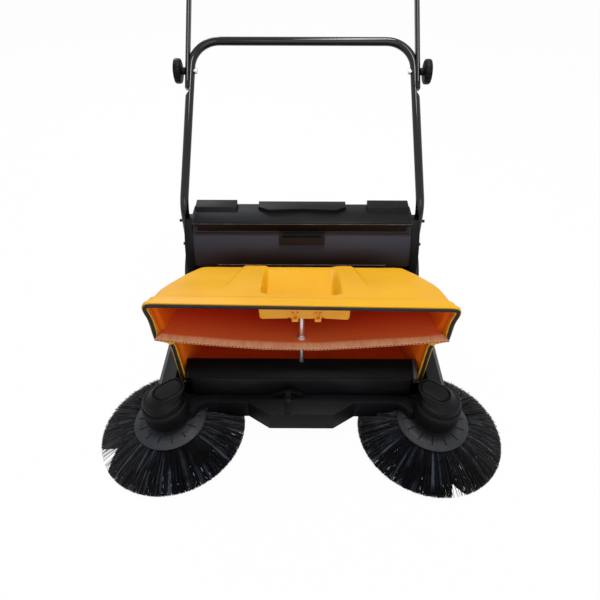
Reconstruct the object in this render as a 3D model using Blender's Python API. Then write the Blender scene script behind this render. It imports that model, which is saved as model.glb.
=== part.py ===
"""Manual floor sweeper: a pushed sweeper with two side brushes, a roller and a lift-out hopper.

Metres, +Z up. The brushes point to -Y and the push handle leans back to +Y.
Heights are taken from the floor, and distances back from the side-brush axes.
"""
import math

import bmesh
import bpy
from mathutils import Matrix, Vector

for item in list(bpy.data.objects):
    bpy.data.objects.remove(item, do_unlink=True)

GAP = 0.0003
ORIGIN_BACK = 0.4301

# Half widths that the rest is hung from
HOUSING_HALF = 0.2715
END_PLATE_THICKNESS = 0.005
ARM_IN = HOUSING_HALF + END_PLATE_THICKNESS + 2 * GAP

# Side brushes
BRUSH_STANDOFF = 0.0173
BRUSH_X = ARM_IN + BRUSH_STANDOFF
BRUSH_TIP_RADIUS = 0.1656
BRUSH_TILT_FORWARD = math.radians(2.4)
BRUSH_TILT_OUT = math.radians(3.3)
BRUSH_TIP_CLEARANCE = 0.001
BRISTLE_COUNT = 110
RING_HEIGHT = 0.051
RING_RADIUS = 0.081
RING_THICKNESS = 0.009
BACKING_IN = 0.064
BACKING_OUT = 0.071
BACKING_THICKNESS = 0.005
HUB_RADIUS = 0.018
SPINDLE_RADIUS = 0.007
SPINDLE_TOP = 0.113
CROWN_RADIUS = 0.038
CROWN_WIDTH = 0.010
CROWN_THICKNESS = 0.005
CROWN_TOOTH = 0.003
CROWN_HEIGHT = 0.094
CROWN_TEETH = 18

# Brush bosses and arms
BOSS_RADIUS = 0.058
BOSS_BOTTOM = 0.066
BOSS_SHOULDER = 0.094
BOSS_COLLAR_RADIUS = 0.050
BOSS_COLLAR_TOP = 0.117
BOSS_TOP = 0.138
BOSS_WALL = 0.004
OVAL_LENGTH = 0.072
OVAL_WIDTH = 0.046
OVAL_TURN = math.radians(36)
OVAL_BACK = 0.011
OVAL_IN = 0.016
COVER_MARGIN = 0.005
COVER_DEPTH = 0.003
ARM_FOOT_WIDTH = 0.0589
ARM_WAIST_WIDTH = 0.0499
ARM_TOP_WIDTH = 0.0319
ARM_OUT_BOTTOM = ARM_IN + ARM_FOOT_WIDTH
ARM_OUT_MIDDLE = ARM_IN + ARM_WAIST_WIDTH
ARM_OUT_TOP = ARM_IN + ARM_TOP_WIDTH
ARM_BOTTOM = 0.042
ARM_MIDDLE = 0.122
ARM_TOP = 0.148
ARM_FRONT = 0.006
ARM_CAVITY_FRONT = 0.052
ARM_END = 0.338
ARM_WALL = 0.004
RAIL_WIDTH = 0.0351
RAIL_IN = ARM_IN - RAIL_WIDTH
RAIL_THICKNESS = 0.005
RAIL_FRONT = 0.066

# Front beam and bumper
BEAM_FRONT = 0.019
BEAM_BACK = 0.042
BEAM_BOTTOM = 0.042
BEAM_TOP = 0.092
BEAM_STUB = 0.1094
BEAM_SEAM_X = BRUSH_X - BEAM_STUB
BEAM_WALL = 0.004
BUMPER_FRONT = -0.015
BUMPER_BACK_X = 0.121
BUMPER_FRONT_X = 0.072
LEVER_X = -0.030
LEVER_PIVOT_Y = 0.030
LEVER_PIVOT_Z = 0.098
LEVER_WIDTH = 0.012
LEVER_WING_BEND = 0.060
LEVER_WING_TOP = 0.014
LEVER_WING_DEPTH = 0.0045

# Hopper
MOUTH_Y = 0.060
HOPPER_BACK = 0.262
HOPPER_TOP = 0.346
HOPPER_TOP_SLOPE = 0.234
HOPPER_OVERHANG = 0.0399
HOPPER_HALF_WIDTH = ARM_IN + HOPPER_OVERHANG
HOPPER_TAPER = 0.41
HOPPER_BOTTOM = 0.112
SHOULDER_Z = 0.244
LOWER_OVERHANG = 0.0039
LOWER_HALF_WIDTH = ARM_IN + LOWER_OVERHANG
LOWER_TAPER = 0.277
LOWER_DRAFT = 0.009
HOPPER_WALL = 0.0035
RIM_DEPTH = 0.012
RIM_WIDTH = 0.010
RIM_PROUD = 0.003
GASKET_WIDTH = 0.006
GASKET_THICKNESS = 0.003
POCKET_HALF = 0.087
POCKET_FRONT = 0.104
POCKET_BACK = 0.230
POCKET_DEPTH = 0.056
POCKET_WALL = 0.003
BRACKET_HALF = 0.096
BRACKET_X = 0.006
BRACKET_FRONT = 0.079
BRACKET_BOTTOM = 0.287
ROD_Y = 0.090
ROD_RADIUS = 0.0055
ROD_HEAD_RADIUS = 0.0095
ROD_HEAD_HEIGHT = 0.008
ROD_GRIP = 0.025
SHEET_THICKNESS = 0.004
SHEET_SAG = 0.028
SHEET_FRONT = 0.054
SHEET_BACK = 0.222
SILL_FRONT = 0.050
SILL_BACK = 0.093
SILL_SET_IN = 0.034
SILL_HALF = LOWER_HALF_WIDTH - SILL_SET_IN
SILL_FOLD_Z = 0.138
SILL_TOP_Z = 0.157
SILL_END = 0.010
FLAP_THICKNESS = 0.003
FLAP_BOTTOM = 0.012
FLAP_NARROW = 0.120
FLAP_NARROW_Z = 0.036
FLAP_STEP = 0.042
FLAP_SHOULDER = 0.084

# Roller housing and end plates
HOUSING_Y = 0.470
HOUSING_Z = 0.240
HOUSING_RADIUS = 0.135
HOUSING_WALL = 0.004
HOUSING_TAIL_Z = 0.060
BACK_SET = 0.039
HOUSING_FRONT = HOUSING_Y - HOUSING_RADIUS
HOUSING_BACK = HOUSING_Y + HOUSING_RADIUS - BACK_SET
BAND_SET = 0.040
BAND_Y = HOUSING_FRONT + BAND_SET
LIP_SET = 0.031
LIP_DROP = 0.026
LIP_THICKNESS = 0.004
LIP_RISE = 0.003
LIP_Y = HOUSING_FRONT + LIP_SET
LIP_Z = HOUSING_Z + HOUSING_RADIUS - LIP_DROP
TOP_BREAK_SET = 0.024
TOP_BREAK_Y = HOUSING_Y - TOP_BREAK_SET
SLOPE_SET = 0.046
SLOPE_DROP = 0.031
CHEEK_SET = 0.010
CHEEK_RISE = 0.040
COVER_PLATE_SET = 0.032
COVER_PLATE_THICKNESS = 0.003
COVER_BACK_SET = 0.003
BLOCK_IN = 0.165
BLOCK_SET_IN = 0.0025
BLOCK_OUT = HOUSING_HALF - BLOCK_SET_IN
BLOCK_HEIGHT = 0.020
BLOCK_SLOPE = 0.012
BLOCK_DIP = 0.004
CENTRE_HALF = 0.110
CENTRE_HEIGHT = 0.016
CENTRE_CORNER = 0.026
CENTRE_CORNER_DEPTH = 0.016
CENTRE_HOLLOW = 0.006
CATCH_HALF = 0.056
CATCH_DROP = 0.047
CATCH_HEIGHT = 0.025
CATCH_TOP = HOUSING_Z + HOUSING_RADIUS - CATCH_DROP
CATCH_BOTTOM = CATCH_TOP - CATCH_HEIGHT
CATCH_SET = 0.005
CATCH_LEAN = 0.012
CATCH_DEPTH = 0.040
CATCH_LIP = 0.016
CATCH_SLOT = 0.016
CATCH_WALL = 0.004
END_PLATE_BOTTOM = 0.062
END_PLATE_SET = 0.035
END_PLATE_STEP_Z = 0.140
END_PLATE_FRONT = HOUSING_FRONT - END_PLATE_SET
END_PLATE_MARGIN = 0.003
END_RIM_DEPTH = 0.0205
END_RIM_OUT = HOUSING_HALF + END_RIM_DEPTH
END_RIM_THICKNESS = 0.005
LEG_BOSS_HALF = 0.012
REAR_FLAP_SET_IN = 0.004
REAR_FLAP_THICKNESS = 0.003
REAR_FLAP_BOTTOM = 0.010
REAR_FLAP_TOP = 0.100

# Wheels, axles and drives
AXLE_Y = 0.470
WHEEL_RADIUS = 0.120
WHEEL_STANDOFF = 0.0195
WHEEL_IN_X = HOUSING_HALF + WHEEL_STANDOFF
WHEEL_WIDTH = 0.022
TYRE_DEPTH = 0.014
TYRE_INSET = 0.002
RIM_WALL = 0.004
AXLE_RADIUS = 0.008
DISC_THICKNESS = 0.005
INTERNAL_TEETH = 24
PINION_TEETH = 6
GEAR_MODULE = 0.0065
GEAR_FACE = 0.007
GEAR_TOOTH = 0.0022
WHEEL_CROWN_RADIUS = 0.030
WHEEL_CROWN_TEETH = 24
REAR_PINION_TEETH = 6
FRONT_PINION_TEETH = 6
REAR_PINION_RADIUS = 0.0075
FRONT_PINION_RADIUS = 0.0127
GEAR_MESH = 0.0005
PINION_TRUNCATION = 0.0008
PINION_TOOTH = 0.0016
PINION_FACE = 0.010
LAYSHAFT_RADIUS = 0.003
LAYSHAFT_CLIMB_TEETH = 2
ROLLER_RADIUS = 0.107
ROLLER_CORE_RADIUS = 0.042
ROLLER_END_GAP = 0.0095
ROLLER_HALF = HOUSING_HALF - ROLLER_END_GAP
ROLLER_SHAFT_RADIUS = 0.005
ROLLER_STEPS = 32
BEARING_RADIUS = 0.016

# Front caster
CASTER_Y = 0.105
CASTER_WHEEL_RADIUS = 0.026
CASTER_WHEEL_WIDTH = 0.018
CASTER_TRAIL = 0.020
CASTER_FORK_GAP = 0.0015
CASTER_PLATE_Z = 0.076
CASTER_PLATE_THICKNESS = 0.005
CASTER_PLATE_AHEAD = 0.035
CASTER_PLATE_BEHIND = 0.045

# Handle
TUBE_RADIUS = 0.0105
LEG_STANDOFF = 0.024
LEG_LEAN_IN = 0.0113
LEG_SET = 0.077
LEG_BEND_RISE = 0.023
LEG_X = HOUSING_HALF + LEG_STANDOFF
LEG_TOP_X = LEG_X - LEG_LEAN_IN
LEG_Y = HOUSING_FRONT + LEG_SET
LEG_BOTTOM = HOUSING_Z
LEG_BEND_Z = LIP_Z + LEG_BEND_RISE
LOW_BOLT_RISE = 0.020
HIGH_BOLT_DROP = 0.019
LEG_BOLT_Z = (LEG_BOTTOM + LOW_BOLT_RISE, LIP_Z - HIGH_BOLT_DROP)
KNOB_Y = 0.645
KNOB_Z = 0.627
CROSSBAR_SET_IN = 0.014
CROSSBAR_X = LEG_X - CROSSBAR_SET_IN
CROSSBAR_Y = 0.702
CROSSBAR_Z = 0.684
CROSSBAR_BEND = 0.070
FLAT_SET_IN = 0.010
FLAT_X = LEG_X - FLAT_SET_IN
UPPER_THICKNESS = 0.011
UPPER_WIDTH = 0.022
UPPER_TAIL = 0.045
UPPER_LENGTH = 0.540
UPPER_BEND = 0.060
GRIP_RADIUS = 0.016
GRIP_HALF = 0.170
KNOB_RADIUS = 0.030
KNOB_THICKNESS = 0.018
KNOB_NECK = 0.009
BOLT_RADIUS = 0.004
BOLT_HEAD_RADIUS = 0.0075
BOLT_HEAD_HEIGHT = 0.005

machine = bpy.data.objects.new("machine", None)
bpy.context.collection.objects.link(machine)
machine.location = (0, -ORIGIN_BACK, 0)

COLOURS = {
    "black_plastic": ((0.035, 0.036, 0.04), 0.5, 0.0),
    "grey_plastic": ((0.16, 0.165, 0.18), 0.5, 0.0),
    "yellow_plastic": ((0.86, 0.42, 0.01), 0.38, 0.0),
    "black_rubber": ((0.015, 0.015, 0.016), 0.7, 0.0),
    "foam": ((0.02, 0.02, 0.02), 0.9, 0.0),
    "black_paint": ((0.01, 0.01, 0.012), 0.15, 0.0),
    "steel": ((0.6, 0.6, 0.6), 0.3, 1.0),
    "bristle": ((0.012, 0.014, 0.022), 0.35, 0.0),
    "cardboard": ((0.55, 0.33, 0.18), 0.9, 0.0),
}


def material(name, finish):
    """One Principled material per object, from the shared table of finishes."""
    colour, rough, metal = COLOURS[finish]
    new = bpy.data.materials.new(name + "_" + finish)
    new.use_nodes = True
    shader = new.node_tree.nodes["Principled BSDF"]
    shader.inputs["Base Color"].default_value = (*colour, 1)
    shader.inputs["Roughness"].default_value = rough
    shader.inputs["Metallic"].default_value = metal
    return new


def finish_object(name, bm, finish, parent=None, location=(0, 0, 0), smooth=True):
    """Turns a bmesh into a named object with its own material."""
    bmesh.ops.remove_doubles(bm, verts=bm.verts, dist=0.00001)
    bmesh.ops.recalc_face_normals(bm, faces=bm.faces)
    mesh = bpy.data.meshes.new(name)
    bm.to_mesh(mesh)
    bm.free()
    new = bpy.data.objects.new(name, mesh)
    bpy.context.collection.objects.link(new)
    new.parent = parent or machine
    new.location = location
    mesh.materials.append(material(name, finish))
    if smooth:
        mesh.shade_smooth()
        mesh.set_sharp_from_angle(angle=math.radians(35))
    return new


def combine(target, other, operation):
    """Cuts or joins another closed shape, which stays out of the build as a guide."""
    other.hide_render = True
    other.display_type = "WIRE"
    step = target.modifiers.new(operation.lower() + "_" + other.name, "BOOLEAN")
    step.operation = operation
    step.object = other


def cut(target, *others):
    for other in others:
        combine(target, other, "DIFFERENCE")


def join(target, *others):
    for other in others:
        combine(target, other, "UNION")


def add_block(bm, low, high):
    """A box between two corners."""
    low, high = Vector(low), Vector(high)
    made = bmesh.ops.create_cube(bm, size=1)
    size = Vector([abs(h - l) for l, h in zip(low, high)])
    bmesh.ops.scale(bm, vec=size, verts=made["verts"])
    bmesh.ops.translate(bm, vec=(low + high) / 2, verts=made["verts"])


def block(name, low, high, finish, parent=None, location=(0, 0, 0)):
    bm = bmesh.new()
    add_block(bm, low, high)
    return finish_object(name, bm, finish, parent, location, smooth=False)


def prism(name, outline, along, low, high, finish, parent=None, location=(0, 0, 0)):
    """An outline extruded along X, Y or Z; its points are the other two coordinates in order."""
    bm = bmesh.new()
    place = {"X": lambda a, b: (low, a, b), "Y": lambda a, b: (a, low, b), "Z": lambda a, b: (a, b, low)}
    step = {"X": (high - low, 0, 0), "Y": (0, high - low, 0), "Z": (0, 0, high - low)}
    face = bm.faces.new([bm.verts.new(place[along](a, b)) for a, b in outline])
    made = bmesh.ops.extrude_face_region(bm, geom=[face])
    moved = [v for v in made["geom"] if isinstance(v, bmesh.types.BMVert)]
    bmesh.ops.translate(bm, vec=step[along], verts=moved)
    return finish_object(name, bm, finish, parent, location)


def loft(name, rings, finish, parent=None, location=(0, 0, 0), closed=False):
    """Skins a chain of rings of points; the two ends are capped unless the chain closes."""
    bm = bmesh.new()
    rows = [[bm.verts.new(point) for point in ring] for ring in rings]
    pairs = list(zip(rows, rows[1:]))
    if closed:
        pairs.append((rows[-1], rows[0]))
    else:
        bm.faces.new(rows[0])
        bm.faces.new(rows[-1])
    for first, second in pairs:
        count = len(first)
        for i in range(count):
            j = (i + 1) % count
            bm.faces.new((first[i], first[j], second[j], second[i]))
    return finish_object(name, bm, finish, parent, location)


def circle(radius, steps, height=0.0, axis="Z", centre=(0, 0, 0), start=0.0):
    """Points on a circle round one of the main axes, at a height along it."""
    points = []
    for i in range(steps):
        angle = start + 2 * math.pi * i / steps
        a, b = radius * math.cos(angle), radius * math.sin(angle)
        local = {"Z": (a, b, height), "X": (height, a, b), "Y": (a, height, b)}[axis]
        points.append(Vector(local) + Vector(centre))
    return points


def turned(name, profile, finish, axis="Z", steps=28, parent=None, location=(0, 0, 0), closed=False, start=0.0):
    """A turned solid from (radius, height) pairs; closed makes a ring with a bore."""
    rings = [circle(r, steps, h, axis, start=start) for r, h in profile]
    return loft(name, rings, finish, parent, location, closed)


def ring(name, inner, outer, low, high, finish, axis="Z", steps=24, parent=None, location=(0, 0, 0)):
    """A plain ring or tube length."""
    profile = [(inner, low), (outer, low), (outer, high), (inner, high)]
    return turned(name, profile, finish, axis, steps, parent, location, closed=True)


def rod(name, radius, low, high, finish, axis="Z", steps=16, parent=None, location=(0, 0, 0), start=0.0):
    """A plain round bar."""
    return turned(name, [(radius, low), (radius, high)], finish, axis, steps, parent, location, start=start)


def arc(centre, radius, start, end, steps):
    """Points along an arc, angles in degrees."""
    points = []
    for i in range(steps + 1):
        angle = math.radians(start + (end - start) * i / steps)
        points.append((centre[0] + radius * math.cos(angle), centre[1] + radius * math.sin(angle)))
    return points


def swept(name, path, outline, normal, finish, parent=None):
    """Carries a flat outline along a path without twist; normal is its second direction at the start."""
    path = [Vector(p) for p in path]
    rings, last = [], None
    for i, point in enumerate(path):
        before = (point - path[i - 1]).normalized() if i else Vector()
        after = (path[i + 1] - point).normalized() if i + 1 < len(path) else Vector()
        forward = (before + after).normalized()
        if last is not None:
            normal = last.rotation_difference(forward) @ normal
        last = forward
        across = forward.cross(normal).normalized()
        rings.append([point + across * a + normal * b for a, b in outline])
    return loft(name, rings, finish, parent)


def rounded_path(corners, radius, steps=5):
    """A path through corners, each inner corner rounded by an arc of the given radius."""
    corners = [Vector(c) for c in corners]
    path = [corners[0]]
    for before, corner, after in zip(corners, corners[1:], corners[2:]):
        back = (before - corner).normalized()
        on = (after - corner).normalized()
        half = back.angle(on) / 2
        reach = min(radius / math.tan(half), (before - corner).length / 2, (after - corner).length / 2)
        true_radius = reach * math.tan(half)
        centre = corner + (back + on).normalized() * (true_radius / math.sin(half))
        first = corner + back * reach - centre
        last = corner + on * reach - centre
        sweep = first.angle(last)
        normal = first.cross(last).normalized()
        for i in range(steps + 1):
            path.append(centre + Matrix.Rotation(sweep * i / steps, 3, normal) @ first)
    path.append(corners[-1])
    return path


def empty(name, location, parent=None, rotation=None):
    """A frame of reference that carries pieces."""
    new = bpy.data.objects.new(name, None)
    bpy.context.collection.objects.link(new)
    new.parent = parent or machine
    new.location = location
    if rotation is not None:
        new.rotation_mode = "QUATERNION"
        new.rotation_quaternion = rotation
    return new


def side_name(side):
    return "right" if side > 0 else "left"


def brush_axis(side):
    """Direction of a side brush's axis, leaning out and forward at its top."""
    return Vector((side * math.sin(BRUSH_TILT_OUT), -math.sin(BRUSH_TILT_FORWARD), 1)).normalized()


def brush_centre(side):
    """Centre of the circle of bristle tips."""
    drop = BRUSH_TIP_RADIUS * math.sin(brush_axis(side).angle(Vector((0, 0, 1))))
    return Vector((side * BRUSH_X, 0, BRUSH_TIP_CLEARANCE + drop))


def brush_frame(side):
    turn = Vector((0, 0, 1)).rotation_difference(brush_axis(side))
    return empty(side_name(side) + "_brush_axis", brush_centre(side), rotation=turn)


def toothed_circle(radius, teeth, root, tip, axis="Z", start=0.0):
    """A circle of two points to a tooth, valleys at one height and tips at another along the axis."""
    low = circle(radius, teeth * 2, root, axis, start=start)
    high = circle(radius, teeth * 2, tip, axis, start=start)
    return [high[i] if i % 2 else low[i] for i in range(teeth * 2)]


def gear_points(teeth, radius, turn=0.0, internal=False, depth=None):
    """The outline of a spur gear with pointed teeth; its first point is a tooth tip."""
    points = []
    depth = GEAR_TOOTH if depth is None else depth
    for i in range(teeth * 2):
        angle = turn + math.pi * i / teeth
        reach = radius + (-depth if i % 2 else depth) * (-1 if internal else 1)
        points.append((reach * math.cos(angle), reach * math.sin(angle)))
    return points


def bristle_brush(name, frame):
    """The side brush's bristles: alternate faces under a thin backing ring drawn out to the tips."""
    steps = BRISTLE_COUNT * 2
    high = RING_HEIGHT - RING_THICKNESS - GAP
    low = high - BACKING_THICKNESS
    middle = (BACKING_IN + BACKING_OUT) / 2
    bm = bmesh.new()
    rows = []
    for r, h in ((BACKING_IN, low), (BACKING_OUT, low), (middle, high)):
        rows.append([bm.verts.new(p) for p in circle(r, steps, h)])
    roots = []
    for k in range(3):
        first, second = rows[k], rows[(k + 1) % 3]
        for i in range(steps):
            j = (i + 1) % steps
            face = bm.faces.new((first[i], first[j], second[j], second[i]))
            if k == 0 and i % 2 == 0:
                roots.append(face)
    for index, face in enumerate(roots):
        angle = 2 * math.pi * (2 * index + 0.5) / steps
        outward = Vector((math.cos(angle), math.sin(angle), 0))
        reach = BRUSH_TIP_RADIUS * (0.985 + 0.015 * math.cos(index * 2.4))
        tip = bmesh.ops.extrude_discrete_faces(bm, faces=[face])["faces"][0]
        centre = tip.calc_center_median()
        for vert in tip.verts:
            offset = vert.co - centre
            along = offset.dot(outward)
            across = offset - outward * along
            vert.co = outward * reach + across * 0.7 + Vector((0, 0, 0.0006 + math.copysign(0.0006, along)))
    return finish_object(name, bm, "bristle", frame, smooth=False)


def side_brush(side):
    """Ring plate with its hub and crown gear, bristles, and the fixed spindle they turn on."""
    label = side_name(side)
    frame = brush_frame(side)
    low = RING_HEIGHT - RING_THICKNESS
    bore = SPINDLE_RADIUS + GAP
    crown_top = CROWN_HEIGHT + CROWN_THICKNESS
    web = CROWN_HEIGHT + 0.001
    crown_in, crown_out = CROWN_RADIUS - CROWN_WIDTH / 2, CROWN_RADIUS + CROWN_WIDTH / 2
    steps = CROWN_TEETH * 2
    rows = [circle(r, steps, h) for r, h in (
        (bore, low), (RING_RADIUS, low), (RING_RADIUS, low + 0.003), (RING_RADIUS - 0.010, RING_HEIGHT),
        (HUB_RADIUS, RING_HEIGHT), (HUB_RADIUS - 0.002, web), (crown_in, web))]
    rows += [toothed_circle(r, CROWN_TEETH, CROWN_HEIGHT, CROWN_HEIGHT - CROWN_TOOTH) for r in (crown_in, crown_out)]
    rows += [circle(crown_out, steps, crown_top), circle(bore, steps, crown_top)]
    loft(label + "_brush_plate", rows, "grey_plastic", frame, closed=True)
    bristle_brush(label + "_brush_bristles", frame)
    under = low - GAP
    turned(label + "_brush_spindle", [
        (SPINDLE_RADIUS + 0.006, under - 0.008), (SPINDLE_RADIUS + 0.006, under), (SPINDLE_RADIUS, under),
        (SPINDLE_RADIUS, SPINDLE_TOP)], "steel", parent=frame, steps=12)
    return frame


def stadium(length, width, turn, centre, steps=8):
    """A slot-shaped outline turned in plan."""
    r, half = width / 2, (length - width) / 2
    local = arc((half, 0), r, -90, 90, steps) + arc((-half, 0), r, 90, 270, steps)
    c, s = math.cos(turn), math.sin(turn)
    return [(centre[0] + x * c - y * s, centre[1] + x * s + y * c) for x, y in local]


def arm_outline(side, inset=0.0, floor=0.0):
    """Cross-section of an arm, seen along Y; inset gives its inside."""
    bottom = ARM_BOTTOM - floor
    points = [(ARM_IN + inset, bottom), (ARM_OUT_BOTTOM - inset, bottom), (ARM_OUT_MIDDLE - inset, ARM_MIDDLE),
              (ARM_OUT_TOP - inset, ARM_TOP - inset), (ARM_IN + inset, ARM_TOP - inset)]
    return [(side * x, z) for x, z in points]


def side_arm(side, frame):
    """One moulding: the hollow arm, the brush boss at its front, a stub of the front beam, the hopper rail."""
    label = side_name(side)
    arm = prism(label + "_side_arm", arm_outline(side), "Y", ARM_FRONT, ARM_END, "black_plastic")
    boss = turned(label + "_boss_body", [
        (BOSS_RADIUS, BOSS_BOTTOM), (BOSS_RADIUS, BOSS_SHOULDER - 0.006), (BOSS_RADIUS - 0.005, BOSS_SHOULDER),
        (BOSS_COLLAR_RADIUS, BOSS_SHOULDER), (BOSS_COLLAR_RADIUS - 0.001, BOSS_COLLAR_TOP - 0.006),
        (BOSS_COLLAR_RADIUS - 0.006, BOSS_COLLAR_TOP)], "black_plastic", steps=20, parent=frame)
    oval_centre, oval_turn = (-side * OVAL_IN, OVAL_BACK), -side * OVAL_TURN
    top = prism(label + "_boss_top", stadium(OVAL_LENGTH, OVAL_WIDTH, oval_turn, oval_centre), "Z",
                BOSS_COLLAR_TOP - 0.004, BOSS_TOP, "black_plastic", frame)
    beam = prism(label + "_beam_stub", beam_stub_outline(side), "Z", BEAM_BOTTOM, BEAM_TOP, "black_plastic")
    rail = block(label + "_hopper_rail", (side * RAIL_IN, RAIL_FRONT, HOPPER_BOTTOM - GAP - RAIL_THICKNESS),
                 (side * (ARM_IN + 0.002), END_PLATE_FRONT - 0.006, HOPPER_BOTTOM - GAP), "black_plastic")
    join(arm, boss, top, beam, rail)
    cavity = prism(label + "_arm_cavity", arm_outline(side, ARM_WALL, 0.01), "Y", ARM_CAVITY_FRONT,
                   ARM_END - ARM_WALL, "steel")
    boss_cavity = turned(label + "_boss_cavity", [
        (BOSS_RADIUS - BOSS_WALL, BOSS_BOTTOM - 0.03), (BOSS_RADIUS - BOSS_WALL, BOSS_SHOULDER - 0.010),
        (BOSS_COLLAR_RADIUS - BOSS_WALL, BOSS_SHOULDER - 0.004),
        (BOSS_COLLAR_RADIUS - BOSS_WALL, BOSS_COLLAR_TOP - 0.009)], "steel", steps=16, parent=frame)
    socket = rod(label + "_spindle_socket", SPINDLE_RADIUS + GAP, BOSS_COLLAR_TOP - 0.02, SPINDLE_TOP + GAP,
                 "steel", parent=frame)
    recess = prism(label + "_cover_recess", stadium(
        OVAL_LENGTH - COVER_MARGIN, OVAL_WIDTH - COVER_MARGIN, oval_turn, oval_centre), "Z",
        BOSS_TOP - COVER_DEPTH, BOSS_TOP + 0.01, "steel", frame)
    sweep = turned(label + "_brush_clearance", [
        (BRUSH_TIP_RADIUS + 0.006, -0.02), (BRUSH_TIP_RADIUS + 0.006, 0.006), (0.120, 0.026),
        (RING_RADIUS + 0.006, 0.044), (RING_RADIUS + 0.006, RING_HEIGHT + 0.006)], "steel", steps=24, parent=frame)
    cut(arm, cavity, boss_cavity, socket, recess, sweep)
    cut(bpy.data.objects["front_bumper"], sweep)
    prism(label + "_boss_cover", stadium(
        OVAL_LENGTH - COVER_MARGIN - 2 * GAP, OVAL_WIDTH - COVER_MARGIN - 2 * GAP, oval_turn,
        oval_centre), "Z", BOSS_TOP - COVER_DEPTH + GAP, BOSS_TOP + 0.001, "black_plastic", frame)
    return arm


def beam_stub_outline(side):
    """Plan of the beam's end, sweeping forward into the boss with a hollow curve."""
    sweep = arc((BRUSH_X - BOSS_RADIUS - 0.030, BEAM_FRONT - 0.034), 0.034, 90, 20, 5)
    points = [(BEAM_SEAM_X + GAP / 2, BEAM_FRONT)] + sweep
    points += [(BRUSH_X - 0.040, -0.020), (BRUSH_X - 0.010, BEAM_BACK), (BEAM_SEAM_X + GAP / 2, BEAM_BACK)]
    return [(side * x, y) for x, y in points]


def front_bumper():
    """The middle of the front beam with the bumper that stands forward, open underneath."""
    outline = [(-BEAM_SEAM_X + GAP / 2, BEAM_BACK), (-BEAM_SEAM_X + GAP / 2, BEAM_FRONT),
               (-BUMPER_BACK_X, BEAM_FRONT), (-BUMPER_FRONT_X, BUMPER_FRONT), (BUMPER_FRONT_X, BUMPER_FRONT),
               (BUMPER_BACK_X, BEAM_FRONT), (BEAM_SEAM_X - GAP / 2, BEAM_FRONT),
               (BEAM_SEAM_X - GAP / 2, BEAM_BACK)]
    beam = prism("front_bumper", outline, "Z", BEAM_BOTTOM, BEAM_TOP, "black_plastic")
    inside = [(x * (1 - BEAM_WALL / BEAM_SEAM_X), y) for x, y in (
        (-BUMPER_BACK_X, BEAM_BACK - BEAM_WALL), (-BUMPER_BACK_X, BEAM_FRONT + BEAM_WALL),
        (-BUMPER_FRONT_X, BUMPER_FRONT + BEAM_WALL), (BUMPER_FRONT_X, BUMPER_FRONT + BEAM_WALL),
        (BUMPER_BACK_X, BEAM_FRONT + BEAM_WALL), (BUMPER_BACK_X, BEAM_BACK - BEAM_WALL))]
    cut(beam, prism("bumper_hollow", inside, "Z", BEAM_BOTTOM - 0.01, BEAM_TOP - BEAM_WALL, "steel"))


def front_lever():
    """The T-shaped lever on the bumper: a post with a curved wing, on a pin between two ears."""
    pivot = empty("front_lever_pivot", (LEVER_X, LEVER_PIVOT_Y, LEVER_PIVOT_Z))
    half = LEVER_WIDTH / 2
    low = BEAM_TOP + GAP - LEVER_PIVOT_Z
    front = BUMPER_FRONT - LEVER_PIVOT_Y + 0.002
    outline = [(front, low), (0.001, low), (0.007, -0.002), (0.008, 0.008), (0.003, 0.018), (-0.006, 0.018),
               (-0.008, 0.002), (-0.014, low + 0.004), (front, low + 0.004)]
    post = prism("front_lever", outline, "X", -half, half, "black_plastic", pivot)
    centre = (0, LEVER_WING_TOP - LEVER_WING_BEND)
    wing = arc(centre, LEVER_WING_BEND, 124, 56, 8)
    wing += arc(centre, LEVER_WING_BEND - LEVER_WING_DEPTH, 56, 124, 8)
    join(post, prism("lever_wing", wing, "Y", 0.001, 0.009, "black_plastic", pivot))
    join(post, rod("lever_trunnion", 0.0015, -half - 0.004, half + 0.004, "black_plastic", "X", 12, pivot))
    for side in (-1, 1):
        ear_name = side_name(side) + "_lever_ear"
        ear = block(ear_name, (side * (half + GAP), -0.004, low - 2 * GAP),
                    (side * (half + 0.004), 0.004, 0.004), "black_plastic", pivot)
        join(bpy.data.objects["front_bumper"], ear)
        cut(bpy.data.objects["front_bumper"], rod(ear_name + "_bore", 0.0015 + GAP, side * half * 0.5,
                                                  side * (half + 0.01), "steel", "X", 12, pivot))


def hopper_top(y):
    return HOPPER_TOP - HOPPER_TOP_SLOPE * max(0, y - MOUTH_Y - RIM_DEPTH)


def hopper_section(y, inset, proud=0.0, top_drop=0.0):
    """The hopper's outline at a distance back; inset moves it in by a wall or a rim."""
    upper = HOPPER_HALF_WIDTH - HOPPER_TAPER * (y - MOUTH_Y) - inset + proud
    lower = LOWER_HALF_WIDTH - LOWER_TAPER * (y - MOUTH_Y) - inset
    top = hopper_top(y) - inset - top_drop
    bottom = HOPPER_BOTTOM + inset
    round_top = 0.008 + min(1.0, max(0.0, (y - MOUTH_Y) / 0.035)) * 0.014
    shoulder = SHOULDER_Z + inset
    half = [(lower - LOWER_DRAFT - 0.012, bottom), (lower - LOWER_DRAFT, bottom + 0.010),
            (lower, shoulder - 0.016), (lower + 0.004, shoulder - 0.008),
            (upper - 0.006, shoulder), (upper - 0.002, shoulder + 0.010),
            (upper, shoulder + 0.035), (upper, top - round_top),
            (upper - round_top * 0.3, top - round_top * 0.3), (upper - round_top, top)]
    right = [Vector((x, y, z)) for x, z in half]
    left = [Vector((-x, y, z)) for x, z in reversed(half)]
    return right + left


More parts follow.
